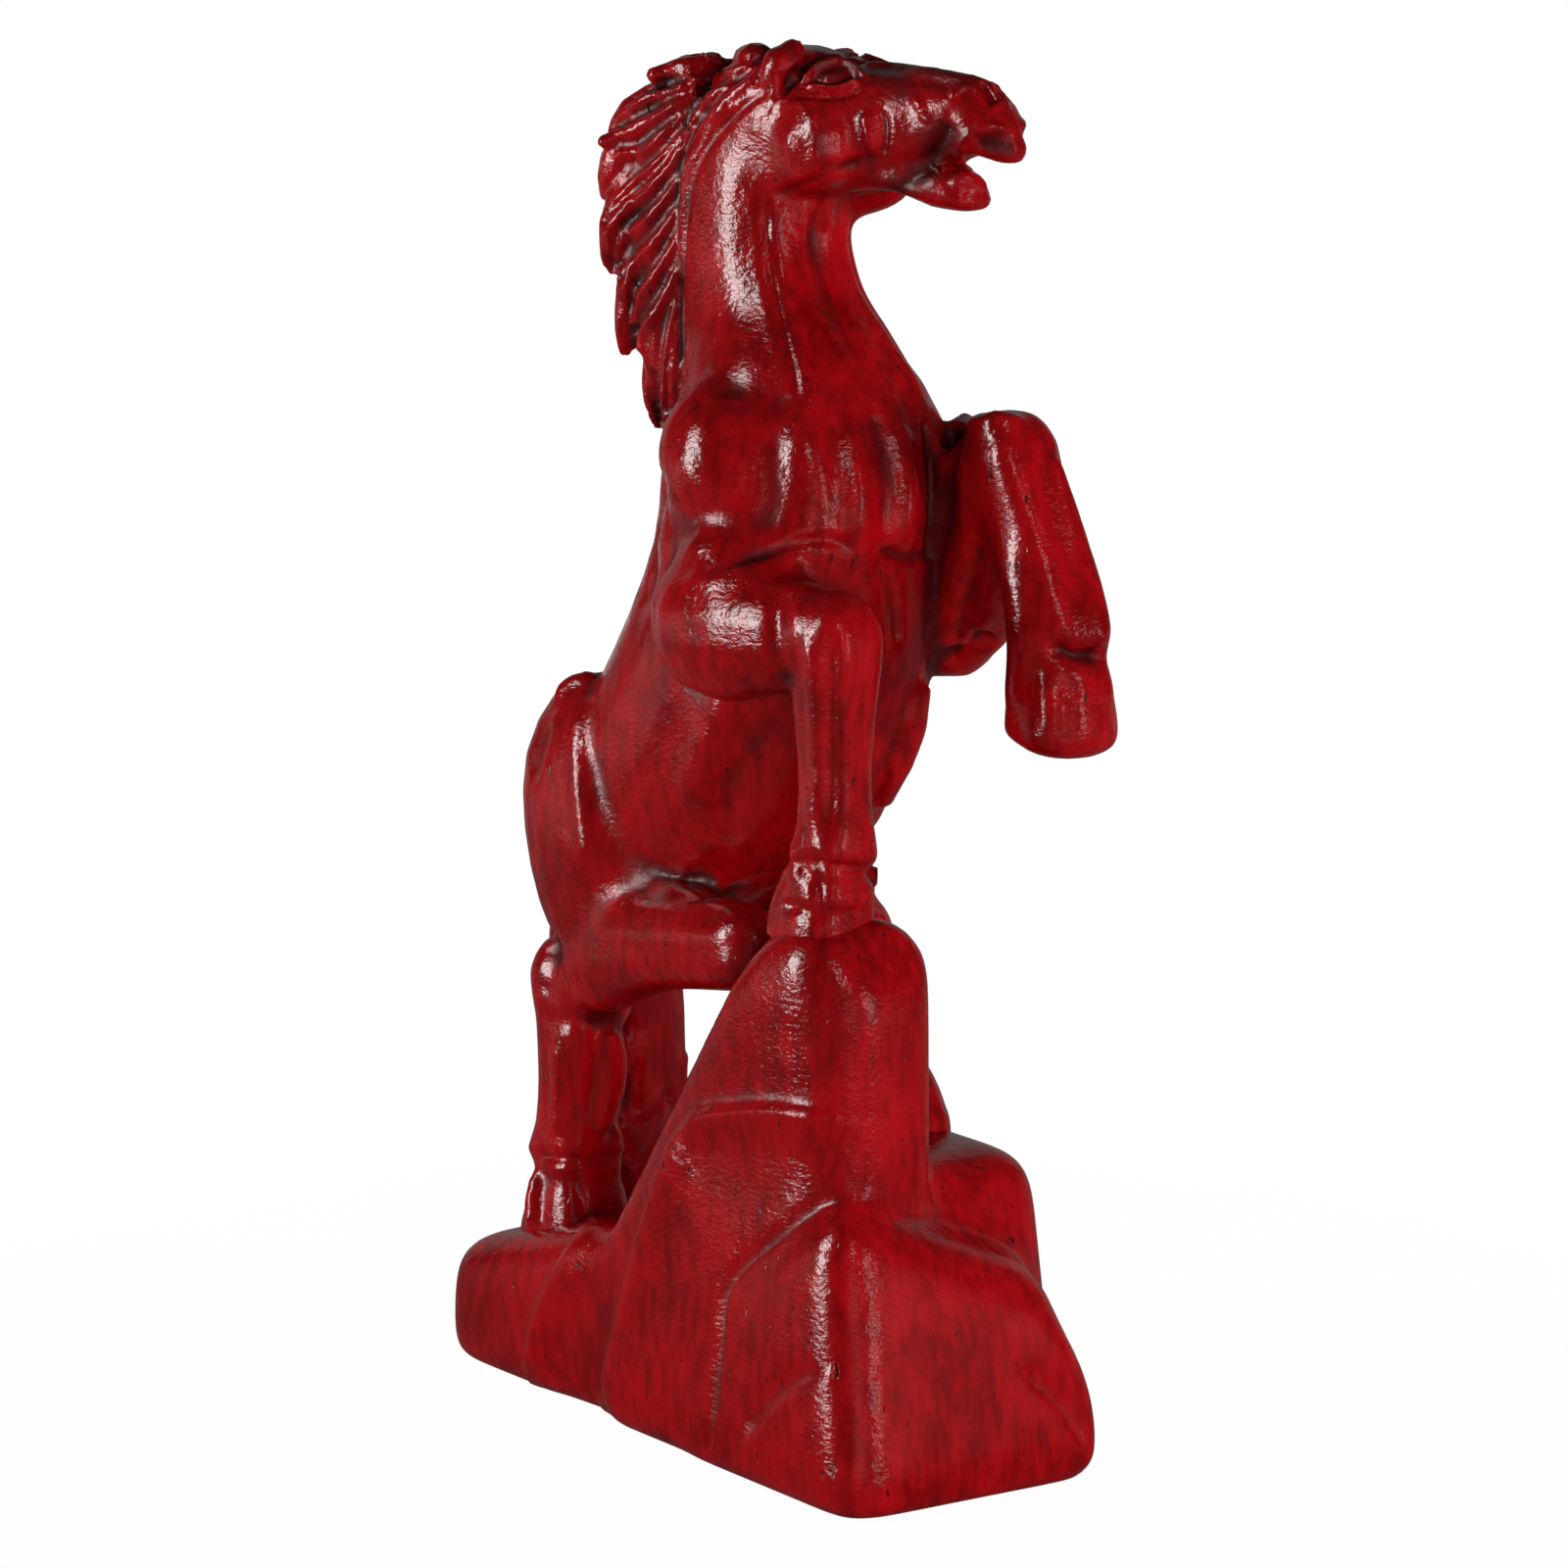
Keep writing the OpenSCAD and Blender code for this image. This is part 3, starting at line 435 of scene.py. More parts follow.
fillRolls = {
    "haunchFill": {
        "at": [(608, 706), (605, 760), (612, 812), (626, 858), (650, 896)],
        "thick": (1.4, 2.3, 2.5, 2.2, 1.4), "sink": 0.7, "twin": True,
    },
    "bellyFill": {
        "at": [(640, 898), (675, 907), (712, 907), (750, 899), (785, 886)],
        "thick": (1.2, 2.0, 2.1, 1.8, 1.2), "sink": 0.65, "twin": True,
    },
    "armFill": {
        "at": [(702, 556), (730, 561), (765, 564), (800, 560), (846, 556)],
        "thick": (1.8, 3.0, 3.2, 3.0, 1.8), "sink": 0.42,
    },
    "armTop": {
        "at": [(706, 590), (745, 586), (795, 584), (850, 586)], "thick": (1.6, 2.6, 2.6, 1.6), "sink": 0.5,
    },
    "dome": {
        "at": [(706, 452), (728, 474), (742, 500), (742, 524)], "thick": (2.6, 4.4, 4.6, 3.2), "sink": 0.78,
    },
    "hindCannon": {
        "at": [(622, 1050), (624, 1085), (620, 1120), (612, 1150)],
        "thick": (1.4, 1.9, 1.8, 1.2), "sink": 0.1,
    },
    "noseTop": {
        "at": [(886, 66), (930, 73), (975, 81), (1008, 90), (1026, 108)],
        "thick": (0.9, 1.3, 1.4, 1.4, 1.1), "sink": 0.45,
    },
    "underLip": {"at": [(974, 186), (990, 186), (1003, 194)], "thick": (1.0, 1.3, 0.9), "sink": 0.1},
    "kneeTop": {
        "at": [(968, 448), (990, 436), (1015, 430), (1040, 430)],
        "thick": (1.2, 1.6, 1.5, 1.1), "sink": 0.35,
    },
    "raisedFront": {
        "at": [(1074, 470), (1090, 535), (1106, 590), (1118, 630), (1122, 655)],
        "thick": (0.9, 1.3, 1.5, 1.5, 1.2), "sink": 0.1,
    },
    "raisedBack": {
        "at": [(1030, 560), (1046, 610), (1051, 650), (1046, 684), (1036, 716)],
        "thick": (1.0, 1.6, 2.0, 1.8, 1.0), "sink": 0.0,
    },
    "raisedToe": {"at": [(1124, 682), (1126, 712)], "thick": (0.9, 0.9), "sink": 0.2},
    "bellyFront": {
        "at": [(938, 700), (925, 744), (909, 786), (898, 816)], "thick": (1.4, 2.2, 2.2, 1.4), "sink": 0.1,
    },
    "haunchTop": {
        "at": [(568, 712), (580, 700), (594, 694), (606, 690)],
        "thick": (1.0, 1.4, 1.4, 1.0), "sink": 0.4, "twin": True,
    },
    "hindHeel": {
        "at": [(550, 1196), (546, 1224), (545, 1246)], "thick": (0.9, 1.2, 1.2), "sink": 0.1, "twin": True,
    },
}
rolls = rollsOn(plainTree, maneRolls, True)
path, facing = seenOn(plainTree, earRoll["at"], rollForm["gap"])
rolls.append(rolled("ear", path, facing, earRoll["thick"], earRoll["sink"]))
turned = acrossHead(path + facing) - acrossHead(path)
rolls.append(rolled("earTwin", acrossHead(path), turned, earRoll["twinThick"], earRoll["sink"]))
rolls += rollsOn(plainTree, fillRolls)
horse = lumpOf("horseLump", horseNodes, horseClay["voxel"], rolls)
spots = spotsOf(horse)
links = linksOf(horse)

# Each standing sole is let down a little into the rock that carries it.
ledge = {"height": 12, "back": -36, "slope": 14, "cover": 0.5, "front": -8}
rightSole = {"foot": 54, "top": 57.5, "back": 15, "side": -4}
leftSole = {"top": 31.5, "back": 0, "side": -3}
x, y, z = spots.T.copy()
ledgeTop = ledge["height"] + (x - ledge["back"]) * math.tan(math.radians(ledge["slope"]))
onPeak = (z < rightSole["top"]) & (z > rightSole["foot"])
onPeak &= (x > rightSole["back"]) & (y < rightSole["side"])
onBoulder = (z < leftSole["top"]) & (x > leftSole["back"]) & (y > leftSole["side"])
onLedge = (z < ledgeTop + ledge["cover"]) & (x < ledge["front"])
for sole in (onPeak, onBoulder, onLedge):
    spots[sole, 2] -= horseClay["soleDrop"]

# Zones that keep more of their form in the smoothing, most of them in the head's frame.
face = {"from": 2.5, "foot": 123, "eyeFrom": 6, "eyeTo": 17, "eyeFoot": 2.5, "muzzle": 21, "softness": 0.6}
crest = {"turn": math.radians(20), "from": -7.5, "foot": 96, "poll": 5, "pollFoot": 134, "softness": 0.3}
ears = {"at": 5, "reach": 4.5, "side": 2.2, "foot": 2, "softness": 0.25}


def faceZone(spots):
    return (headSpots(spots)[:, 0] > face["from"]) & (spots[:, 2] > face["foot"])


def maneZone(spots):
    behind = spots[:, 0] * math.cos(crest["turn"]) + spots[:, 1] * math.sin(crest["turn"])
    onPoll = (headSpots(spots)[:, 0] < crest["poll"]) & (spots[:, 2] > crest["pollFoot"])
    return (behind < crest["from"]) & (spots[:, 2] > crest["foot"]) | onPoll


def topZone(spots):
    return maneZone(spots) | faceZone(spots)


def detailZone(spots):
    x, y, z = headSpots(spots).T
    byEye = (x > face["eyeFrom"]) & (x < face["eyeTo"]) & (z > face["eyeFoot"])
    return faceZone(spots) & ((x > face["muzzle"]) | byEye)


def earZone(spots):
    x, y, z = headSpots(spots).T
    return (abs(x - ears["at"]) < ears["reach"]) & (abs(y) > ears["side"]) & (z > ears["foot"])


calming = {"pull": 0.5, "fade": 1.5}
calmed = {  # places that are smoothed further, as ellipsoids
    "neck": {"at": (4, 0, 118), "reach": (16, 16, 17), "rounds": 40},
    "cheekRight": {"at": (2, -7, 131), "reach": (9, 7, 8), "rounds": 70},
    "cheekLeft": {"at": (-2, 7, 131), "reach": (9, 7, 8), "rounds": 70},
    "chest": {"at": (17, -3, 99), "reach": (13, 13, 13), "rounds": 90},
    "armPit": {"at": (13, -16, 92.5), "reach": (15, 9, 5.5), "rounds": 25},
    "dome": {"at": (9, -13, 99), "reach": (9, 9, 9), "rounds": 45},
    "raisedHoof": {"at": (37, 9, 76), "reach": (9, 9, 9), "rounds": 20, "swell": 0.9},
    "raisedLeg": {"at": (32, 9, 89), "reach": (11, 10, 14), "rounds": 50, "swell": 0.9},
    "gaskin": {"at": (-1, -13, 49), "reach": (18, 10, 10), "rounds": 80},
    "flankRight": {"at": (-11, -13, 66), "reach": (9, 8, 20), "rounds": 40},
    "flankLeft": {"at": (-11, 13, 66), "reach": (9, 8, 20), "rounds": 40},
}
soft = np.ones(len(spots))
soft[faceZone(spots)] = face["softness"]
soft[maneZone(spots)] = crest["softness"]
soft[earZone(spots)] = ears["softness"]
spots = relaxed(spots, links, horseClay["rounds"], soft)
farEar = {"side": 1.5, "from": 6.0, "keep": 0.3}  # the far ear lies flat
x, y, z = headSpots(spots).T
high = (y > farEar["side"]) & (z > farEar["from"])
spots[high, 2] -= (1 - farEar["keep"]) * (z[high] - farEar["from"])
for calm in calmed.values():
    away = np.linalg.norm((spots - np.array(calm["at"])) / np.array(calm["reach"]), axis=1)
    weight = calming["pull"] * np.clip(calming["fade"] - calming["fade"] * away, 0, 1)
    weight[maneZone(spots)] = 0
    for step in range(calm["rounds"]):
        spots = spots + weight[:, None] * (averaged(spots, links) - spots)
    placeSpots(horse, spots)
    spots = spots + calm.get("swell", 0) * (weight / calming["pull"])[:, None] * normalsOf(horse)
placeSpots(horse, spots)
print("horse lump", len(spots))

skin = bpy.data.objects.new("horseSkin", horse.data.copy())
finer(horse, topZone)
finer(horse, detailZone)
clay = Clay(horse, skin)
print("horse clay", len(clay.spots))

neckCarving = {
    "grooveA": {
        "at": [(780, 206), (783, 250), (790, 298), (800, 340), (808, 372), (816, 408)],
        "lift": -0.55, "wide": 0.7,
    },
    "grooveB": {
        "at": [(829, 214), (832, 250), (846, 290), (864, 338), (878, 398)], "lift": -0.35, "wide": 1.2,
    },
    "grooveC": {
        "at": [(880, 400), (890, 430), (896, 470), (894, 520), (885, 552)],
        "lift": -0.3, "wide": 1.5, "twin": False,
    },
    "chestStep": {"at": [(900, 560), (922, 570), (941, 567)], "lift": -0.8, "wide": 0.6, "twin": False},
    "throatBumpA": {"at": [(817, 212), (818, 226)], "lift": 0.35, "wide": 0.8},
    "throatBumpB": {"at": [(841, 210), (842, 226)], "lift": 0.35, "wide": 0.8},
    "crestLine": {
        "at": [(784, 92), (750, 116), (716, 158), (701, 206), (696, 270), (695, 340), (700, 414)],
        "lift": -0.5, "wide": 0.5,
    },
}
chestCarving = {
    "neckFoot": {
        "at": [(700, 418), (722, 402), (750, 396), (785, 402), (803, 420)], "lift": -0.6, "wide": 2.0,
    },
    "domeGroove": {"at": [(793, 430), (789, 470), (788, 510), (778, 546)], "lift": -0.4, "wide": 1.6},
    "cordA": {"at": [(820, 436), (824, 480), (824, 530)], "lift": 0.35, "wide": 2.2},
    "chestGrooveA": {"at": [(846, 424), (853, 470), (858, 510), (856, 545)], "lift": -0.35, "wide": 1.3},
    "cordB": {"at": [(868, 430), (880, 480), (884, 530), (880, 552)], "lift": 0.5, "wide": 2.0},
    "chestGrooveB": {"at": [(892, 420), (904, 460), (908, 505), (902, 545)], "lift": -0.3, "wide": 1.3},
    "cordC": {"at": [(916, 430), (928, 480), (928, 530), (920, 560)], "lift": 0.6, "wide": 1.7},
    "shoulderNotch": {"at": [(674, 527), (690, 532), (712, 542)], "lift": -0.4, "wide": 1.7},
    "forearmTop": {
        "at": [(716, 584), (738, 578), (770, 568), (815, 553), (850, 552), (874, 561)],
        "lift": -0.5, "wide": 0.6,
    },
    "armGroove": {"at": [(795, 596), (792, 640), (797, 680), (806, 702)], "lift": -0.4, "wide": 1.2},
    "breastLine": {"at": [(902, 578), (911, 610), (915, 660)], "lift": -0.5, "wide": 0.7},
    "backLine": {"at": [(676, 480), (668, 540), (662, 590), (650, 620)], "lift": -0.8, "wide": 1.6},
    "elbowFoot": {"at": [(962, 678), (990, 670), (1012, 648)], "lift": -1.6, "wide": 1.8},
}
frontLegCarving = {
    "shinGroove": {"at": [(847, 642), (848, 700), (849, 780), (846, 852)], "lift": -0.5, "wide": 0.9},
    "shinRidgeA": {"at": [(816, 638), (829, 690), (832, 780), (826, 855)], "lift": 0.4, "wide": 1.1},
    "shinRidgeB": {"at": [(866, 648), (862, 700), (861, 780), (864, 850)], "lift": 0.5, "wide": 0.9},
    "fetlockFold": {"at": [(822, 877), (850, 886), (890, 889)], "lift": -0.9, "wide": 0.7},
    "coronet": {"at": [(796, 922), (840, 933), (884, 930)], "lift": -0.5, "wide": 0.5},
    "hoofFold": {"at": [(834, 890), (837, 915), (836, 934)], "lift": -0.5, "wide": 0.6},
    "tendonBump": {"at": [(812, 872), (814, 888)], "lift": 0.6, "wide": 1.1},
    "raisedGroove": {"at": [(1052, 450), (1068, 510), (1086, 566), (1102, 630)], "lift": -0.2, "wide": 1.6},
    "raisedRidgeA": {"at": [(1015, 446), (1040, 505), (1066, 570), (1086, 640)], "lift": 0.3, "wide": 1.8},
    "raisedFetlock": {"at": [(1070, 660), (1098, 670), (1130, 671)], "lift": -1.5, "wide": 1.0},
    "raisedHoofRidge": {"at": [(1066, 684), (1071, 720), (1078, 756)], "lift": 0.3, "wide": 1.2},
    "raisedHoofGroove": {"at": [(1086, 690), (1090, 725), (1086, 757)], "lift": -0.3, "wide": 1.3},
    "chestSeam": {
        "at": [(946, 432), (950, 470), (951, 520), (947, 566)], "lift": -0.9, "wide": 0.5, "taper": False,
    },
    "elbowGroove": {"at": [(1000, 556), (990, 604), (979, 645), (966, 668)], "lift": -1.1, "wide": 1.2},
}
barrelCarving = {
    "haunchCrease": {
        "at": [(606, 706), (604, 760), (612, 812), (626, 858), (646, 900)], "lift": -0.35, "wide": 1.6,
    },
    "haunchRidge": {"at": [(590, 720), (589, 780), (594, 835), (608, 880)], "lift": 0.6, "wide": 1.5},
    "haunchBump": {"at": [(575, 855), (590, 875)], "lift": 0.6, "wide": 2.4},
    "bellyLine": {"at": [(640, 904), (690, 916), (735, 911), (790, 888)], "lift": -0.4, "wide": 1.2},
    "gaskinFoldA": {"at": [(632, 941), (690, 942), (738, 932)], "lift": -0.2, "wide": 1.4},
    "gaskinFoldB": {"at": [(596, 966), (660, 969), (720, 973), (770, 955)], "lift": -0.25, "wide": 1.5},
    "hockHollow": {"at": [(566, 958), (560, 990), (556, 1022)], "lift": -0.8, "wide": 1.8},
    "haunchBack": {"at": [(556, 735), (548, 765), (540, 790)], "lift": -0.7, "wide": 1.8},
    "flankEdge": {"at": [(750, 704), (726, 760), (706, 830)], "lift": 0.7, "wide": 2.4},
    "flankHollow": {"at": [(778, 742), (748, 796), (732, 850)], "lift": -0.8, "wide": 2.0},
}
hindLegCarving = {
    "hockFold": {"at": [(556, 1040), (600, 1043), (652, 1052)], "lift": -0.6, "wide": 1.2},
    "cannonRidge": {"at": [(566, 1062), (568, 1110), (566, 1160)], "lift": 0.4, "wide": 1.0},
    "cannonEdge": {"at": [(650, 1078), (645, 1110), (634, 1140), (620, 1168)], "lift": -0.7, "wide": 0.8},
    "hindFetlock": {"at": [(543, 1180), (590, 1184), (642, 1180)], "lift": -0.9, "wide": 0.7},
    "hindHoofFold": {"at": [(585, 1192), (592, 1220), (600, 1246)], "lift": -0.5, "wide": 0.9},
}
headCarving = {
    "eyeHollow": {"at": [(826, 83), (850, 78), (876, 79)], "lift": -0.5, "wide": 0.9},
    "eyeBall": {"at": [(845, 78), (855, 77)], "lift": 0.75, "wide": 0.7},
    "upperLid": {"at": [(818, 86), (832, 71), (850, 65), (867, 68), (884, 79)], "lift": 0.75, "wide": 0.38},
    "lidFold": {"at": [(808, 84), (828, 64), (850, 57), (869, 60), (884, 68)], "lift": -0.35, "wide": 0.35},
    "lowerLid": {"at": [(822, 89), (840, 91), (858, 91), (878, 83)], "lift": 0.85, "wide": 0.38},
    "underEye": {"at": [(818, 97), (840, 99), (862, 98), (880, 91)], "lift": -0.3, "wide": 0.4},
    "templeFoldA": {"at": [(797, 92), (812, 82), (826, 72)], "lift": -0.35, "wide": 0.35},
    "templeFoldB": {"at": [(796, 84), (808, 73), (824, 62)], "lift": -0.35, "wide": 0.35},
    "cheekFoot": {
        "at": [(784, 199), (806, 197), (832, 187), (868, 170), (896, 158)], "lift": -0.6, "wide": 0.9,
    },
    "faceCrest": {"at": [(882, 116), (887, 135), (890, 154)], "lift": 0.45, "wide": 0.8},
    "faceCrease": {"at": [(900, 112), (903, 135), (899, 160)], "lift": -0.45, "wide": 0.5},
    "noseBumpA": {"at": [(934, 103), (938, 107)], "lift": 0.25, "wide": 0.5},
    "noseBumpB": {"at": [(942, 118), (946, 121)], "lift": 0.25, "wide": 0.45},
    "nostrilRim": {"at": [(970, 100), (978, 92), (990, 89), (999, 94)], "lift": 0.35, "wide": 0.6},
    "nostrilA": {"at": [(1003, 88), (1008, 95), (1011, 102)], "lift": -0.7, "wide": 0.45, "taper": False},
    "nostrilB": {"at": [(1018, 90), (1021, 99)], "lift": -0.4, "wide": 0.35},
    "lipRim": {
        "at": [(1036, 134), (1012, 130), (991, 136), (979, 150), (982, 168), (992, 186)],
        "lift": 0.4, "wide": 0.6,
    },
    "lipGroove": {"at": [(968, 122), (960, 148), (944, 170), (918, 190)], "lift": -0.8, "wide": 1.0},
    "earCrease": {"at": [(836, 56), (822, 66), (806, 82), (797, 100)], "lift": -0.6, "wide": 0.5},
}
maneCarving = {
    "notchMid": {"at": [(636, 312), (638, 340), (642, 362)], "lift": -0.8, "wide": 1.0, "taper": False},
    "notchLow": {"at": [(664, 384), (666, 410), (670, 432)], "lift": -0.9, "wide": 1.0, "taper": False},
}
lockGap = {"over": -5, "up": -9, "lift": -0.45, "wide": 0.6}  # beside each long lock
for name, roll in maneRolls.items():
    if len(roll["at"]) > 3:
        beside = [(u + lockGap["over"], v + lockGap["up"]) for u, v in roll["at"]]
        maneCarving[name + "Gap"] = {"at": beside, "lift": lockGap["lift"], "wide": lockGap["wide"]}
for carving, twin in (
    (neckCarving, acrossMiddle), (chestCarving, None), (frontLegCarving, None),
    (barrelCarving, acrossMiddle), (hindLegCarving, acrossMiddle), (maneCarving, acrossMiddle),
    (headCarving, acrossHead),
):
    clay.carve(carving, twin)
# Dark marks on the head: noseShade and topShade are painted shade on faces turned up, partly also stain;
# mouthShade and mouthCorner are painted shade in the open mouth; cheekStreak, lipShade and jawShade are dark
# paint and stain the carving has; eyeLine and pupil darken the eye's rim and middle.
headStainsAndShade = {
    "cheekStreak": {"at": [(840, 92), (839, 130), (838, 180)], "stainAndShade": 0.45, "wide": 0.6},
    "eyeLine": {"at": [(826, 84), (838, 74), (852, 70), (868, 74), (878, 80)], "stainAndShade": 0.7, "wide": 0.3},
    "pupil": {"at": [(850, 78), (854, 78)], "stainAndShade": 0.6, "wide": 0.4},
    "noseShade": {"at": [(892, 66), (915, 82), (922, 108)], "stainAndShade": 0.6, "wide": 2.0},
    "lipShade": {"at": [(968, 120), (960, 146), (944, 170), (922, 188)], "stainAndShade": 1.0, "wide": 2.3},
    "jawShade": {"at": [(905, 196), (922, 190), (942, 180), (958, 164)], "stainAndShade": 1.0, "wide": 1.8},
    "mouthShade": {"at": [(994, 150), (1012, 148), (1036, 152)], "lift": -0.6, "stainAndShade": 1.0, "wide": 1.5},
    "mouthCorner": {"at": [(984, 160), (1000, 166), (1010, 174)], "stainAndShade": 1.0, "wide": 1.5},
    "topShade": {"at": [(850, 52), (890, 60), (940, 70), (980, 78), (1012, 90)], "stainAndShade": 0.7, "wide": 1.8},
}
clay.carve(headStainsAndShade, acrossHead)
# bellyShade is painted shade under the belly; seamShade darkens the seam down the chest.
chestStainsAndShade = {
    "seamShade": {
        "at": [(948, 430), (951, 500), (948, 566), (944, 620), (945, 690)], "stainAndShade": 1.0, "wide": 0.9,
    },
    "bellyShade": {"at": [(650, 905), (700, 918), (740, 912)], "stainAndShade": 0.3, "wide": 1.6},
}
clay.carve(chestStainsAndShade)
clay.settle()
print("horse carved")

# The rock, made and carved the same way.
rockNodes = ["rear_ledge", "rock_peak", "left_boulder", "front_boulder"]
rockClay = {"voxel": 0.6, "rounds": 25, "softening": 70, "swell": 0.65}
rockFills = {
    "peakShoulder": {
        "at": [(872, 946), (905, 955), (928, 974), (938, 1000)], "thick": (1.4, 2.2, 2.2, 1.4), "sink": 0.25,
    },
    "boulderSide": {
        "at": [(1052, 1335), (1084, 1392), (1102, 1450), (1106, 1495)],
        "thick": (1.2, 2.2, 2.2, 1.6), "sink": 0.2,
    },
}
rockTree = treeOf(rockNodes)
rock = lumpOf("rockLump", rockNodes, rockClay["voxel"], rollsOn(rockTree, rockFills))
links = linksOf(rock)
spots = relaxed(spotsOf(rock), links, rockClay["rounds"], np.ones(len(rock.data.vertices)))
for step in range(rockClay["softening"]):
    spots = 0.5 * (spots + averaged(spots, links))
placeSpots(rock, spots)
spots = spots + rockClay["swell"] * normalsOf(rock)
spots[:, 2] = np.maximum(spots[:, 2], 0)
placeSpots(rock, spots)
rockSkin = bpy.data.objects.new("rockSkin", rock.data.copy())
finer(rock)
rockShape = Clay(rock, rockSkin)
rockCarving = {
    "ledgeLine": {
        "at": [(640, 1186), (600, 1256), (566, 1310), (547, 1360), (539, 1404)],
        "lift": 0.9, "wide": 3.0, "lean": 1,
    },
    "slabLine": {
        "at": [(715, 1141), (690, 1172), (670, 1225), (645, 1310), (626, 1385), (618, 1442)],
        "lift": 1.0, "wide": 3.2, "lean": 1,
    },
    "stepLine": {
        "at": [(700, 1150), (722, 1138), (790, 1133), (848, 1142)], "lift": 0.9, "wide": 2.6, "lean": -1,
    },
    "boulderLine": {
        "at": [(858, 1226), (838, 1232), (800, 1260), (746, 1311), (737, 1370), (729, 1440), (721, 1482)],
        "lift": -0.5, "wide": 1.3, "lean": -1,
    },
    "frontCrease": {
        "at": [(836, 1402), (800, 1420), (775, 1445), (760, 1468)], "lift": -0.5, "wide": 1.8, "lean": -1,
    },
    "frontCreaseB": {"at": [(1043, 1400), (1080, 1436), (1106, 1475)], "lift": -0.3, "wide": 1.5, "lean": 1},
}
rockShape.carve(rockCarving)
rockShape.settle()
spots = spotsOf(rock)
spots[:, 2] = np.maximum(spots[:, 2], 0)
placeSpots(rock, spots)
print("rock carved", len(rockShape.spots))


# How deep a place lies under the blurred surface, kept as a value on every vertex; the lacquer darkens the
# deep places with it as painted shade.
recessLook = {"blur": 24, "even": 2, "depth": 0.35}


def recessOf(piece):
    spots, links, normals = spotsOf(piece), linksOf(piece), normalsOf(piece)
    blurred = spots
    for step in range(recessLook["blur"]):
        blurred = averaged(blurred, links)
    depth = ((blurred - spots) * normals).sum(1)
    for step in range(recessLook["even"]):
        depth = averaged(depth[:, None], links)[:, 0]
    return spots, np.clip(depth / recessLook["depth"], -1, 1), normals


recess = {}
for lump, shape in ((horse, clay), (rock, rockShape)):
    spots, depth, ways = recessOf(lump)
    # painted shade in hollows, joined with the stains and painted shade of the strokes
    depth = np.maximum(depth, shape.stainsAndShade)
    tree = KDTree(len(spots))
    for k, spot in enumerate(spots):
        tree.insert(spot, k)
    tree.balance()
    recess[lump.name] = (tree, depth, ways)
print("recess shade found")

# The lumps are split at the flat glue faces, where the solids meet.
far = 400
clear = 60  # past the horse on either side
hip = {
    "foot": -1, "front": 16, "top": 57, "flank": -6.3,
    "croup": -21.7, "croupTop": 95, "side": 7, "stifle": 46,
}
neckSeam = {"foot": 108, "front": 21, "frontFoot": 116}
maneSeam = {"turn": 20, "seam": -8.6, "foot": 95, "top": 200}
rockSeam = {
    "ledge": -19, "ledgeLean": 0.726, "boulder": 12, "boulderLean": 0.712,
    "left": -4, "foot": -5, "top": 80,
}
limbBoxes = {  # low and high corners, two boxes a limb
    "foreleg_right": [((-3, -60, 77), (60, -9, 92)), ((19, -61, 47), (61, -7, 92.001))],
    "foreleg_left": [((2, 6.5, 77), (60, 60, 108.5)), ((23, 1.5, 60), (61, 61, 150))],
    "tail": [((-60, -8, 45.9), (-29.5, 8, 120)), ((-61, -30, 0), (-27.7, 30, 46))],
}


def boxCutter(low, high):
    low, high = np.array(low, float), np.array(high, float)
    bpy.ops.mesh.primitive_cube_add(size=1, location=tuple((low + high) / 2 * mm))
    cutter = bpy.context.active_object
    cutter.scale = tuple((high - low) * mm)
    bpy.ops.object.transform_apply(location=True, rotation=True, scale=True)
    return cutter


def prismCutter(outline, nearY, farY):
    count = len(outline)
    corners = [(x * mm, y * mm, z * mm) for y in (nearY, farY) for x, z in outline]
    faces = [tuple(range(count)), tuple(range(2 * count - 1, count - 1, -1))]
    faces += [(k, k + count, (k + 1) % count + count, (k + 1) % count) for k in range(count)]
    return closedMesh("prism", corners, faces)


def cut(piece, cutter, way):
    pick(piece)
    modifier = piece.modifiers.new("cut", "BOOLEAN")
    modifier.object = cutter
    modifier.operation = way
    modifier.solver = "MANIFOLD"
    bpy.ops.object.modifier_apply(modifier=modifier.name)


pieces = {}


def takeOut(lump, name, cutters):
    whole = cutters[0]
    for other in cutters[1:]:
        cut(whole, other, "UNION")
        bpy.data.objects.remove(other)
    piece = bpy.data.objects.new(name + "Carved", lump.data.copy())
    scene.collection.objects.link(piece)
    cut(piece, whole, "INTERSECT")
    cut(lump, whole, "DIFFERENCE")
    bpy.data.objects.remove(whole)
    pieces[name] = piece


def hindCutter(sign):
    outline = [
        (-far, hip["foot"]), (hip["front"], hip["foot"]), (hip["front"], hip["top"]),
        (hip["flank"], hip["top"]), (hip["croup"], hip["croupTop"]), (-far, hip["croupTop"]),
    ]
    upper = prismCutter(outline, hip["side"] * sign, clear * sign)
    wide = (clear + 1) * sign
    lower = boxCutter((-far, min(0, wide), hip["foot"] - 1), (far, max(0, wide), hip["stifle"]))
    return [upper, lower]


def leaning(toe, lean, z):
    return (toe + z * lean, z)


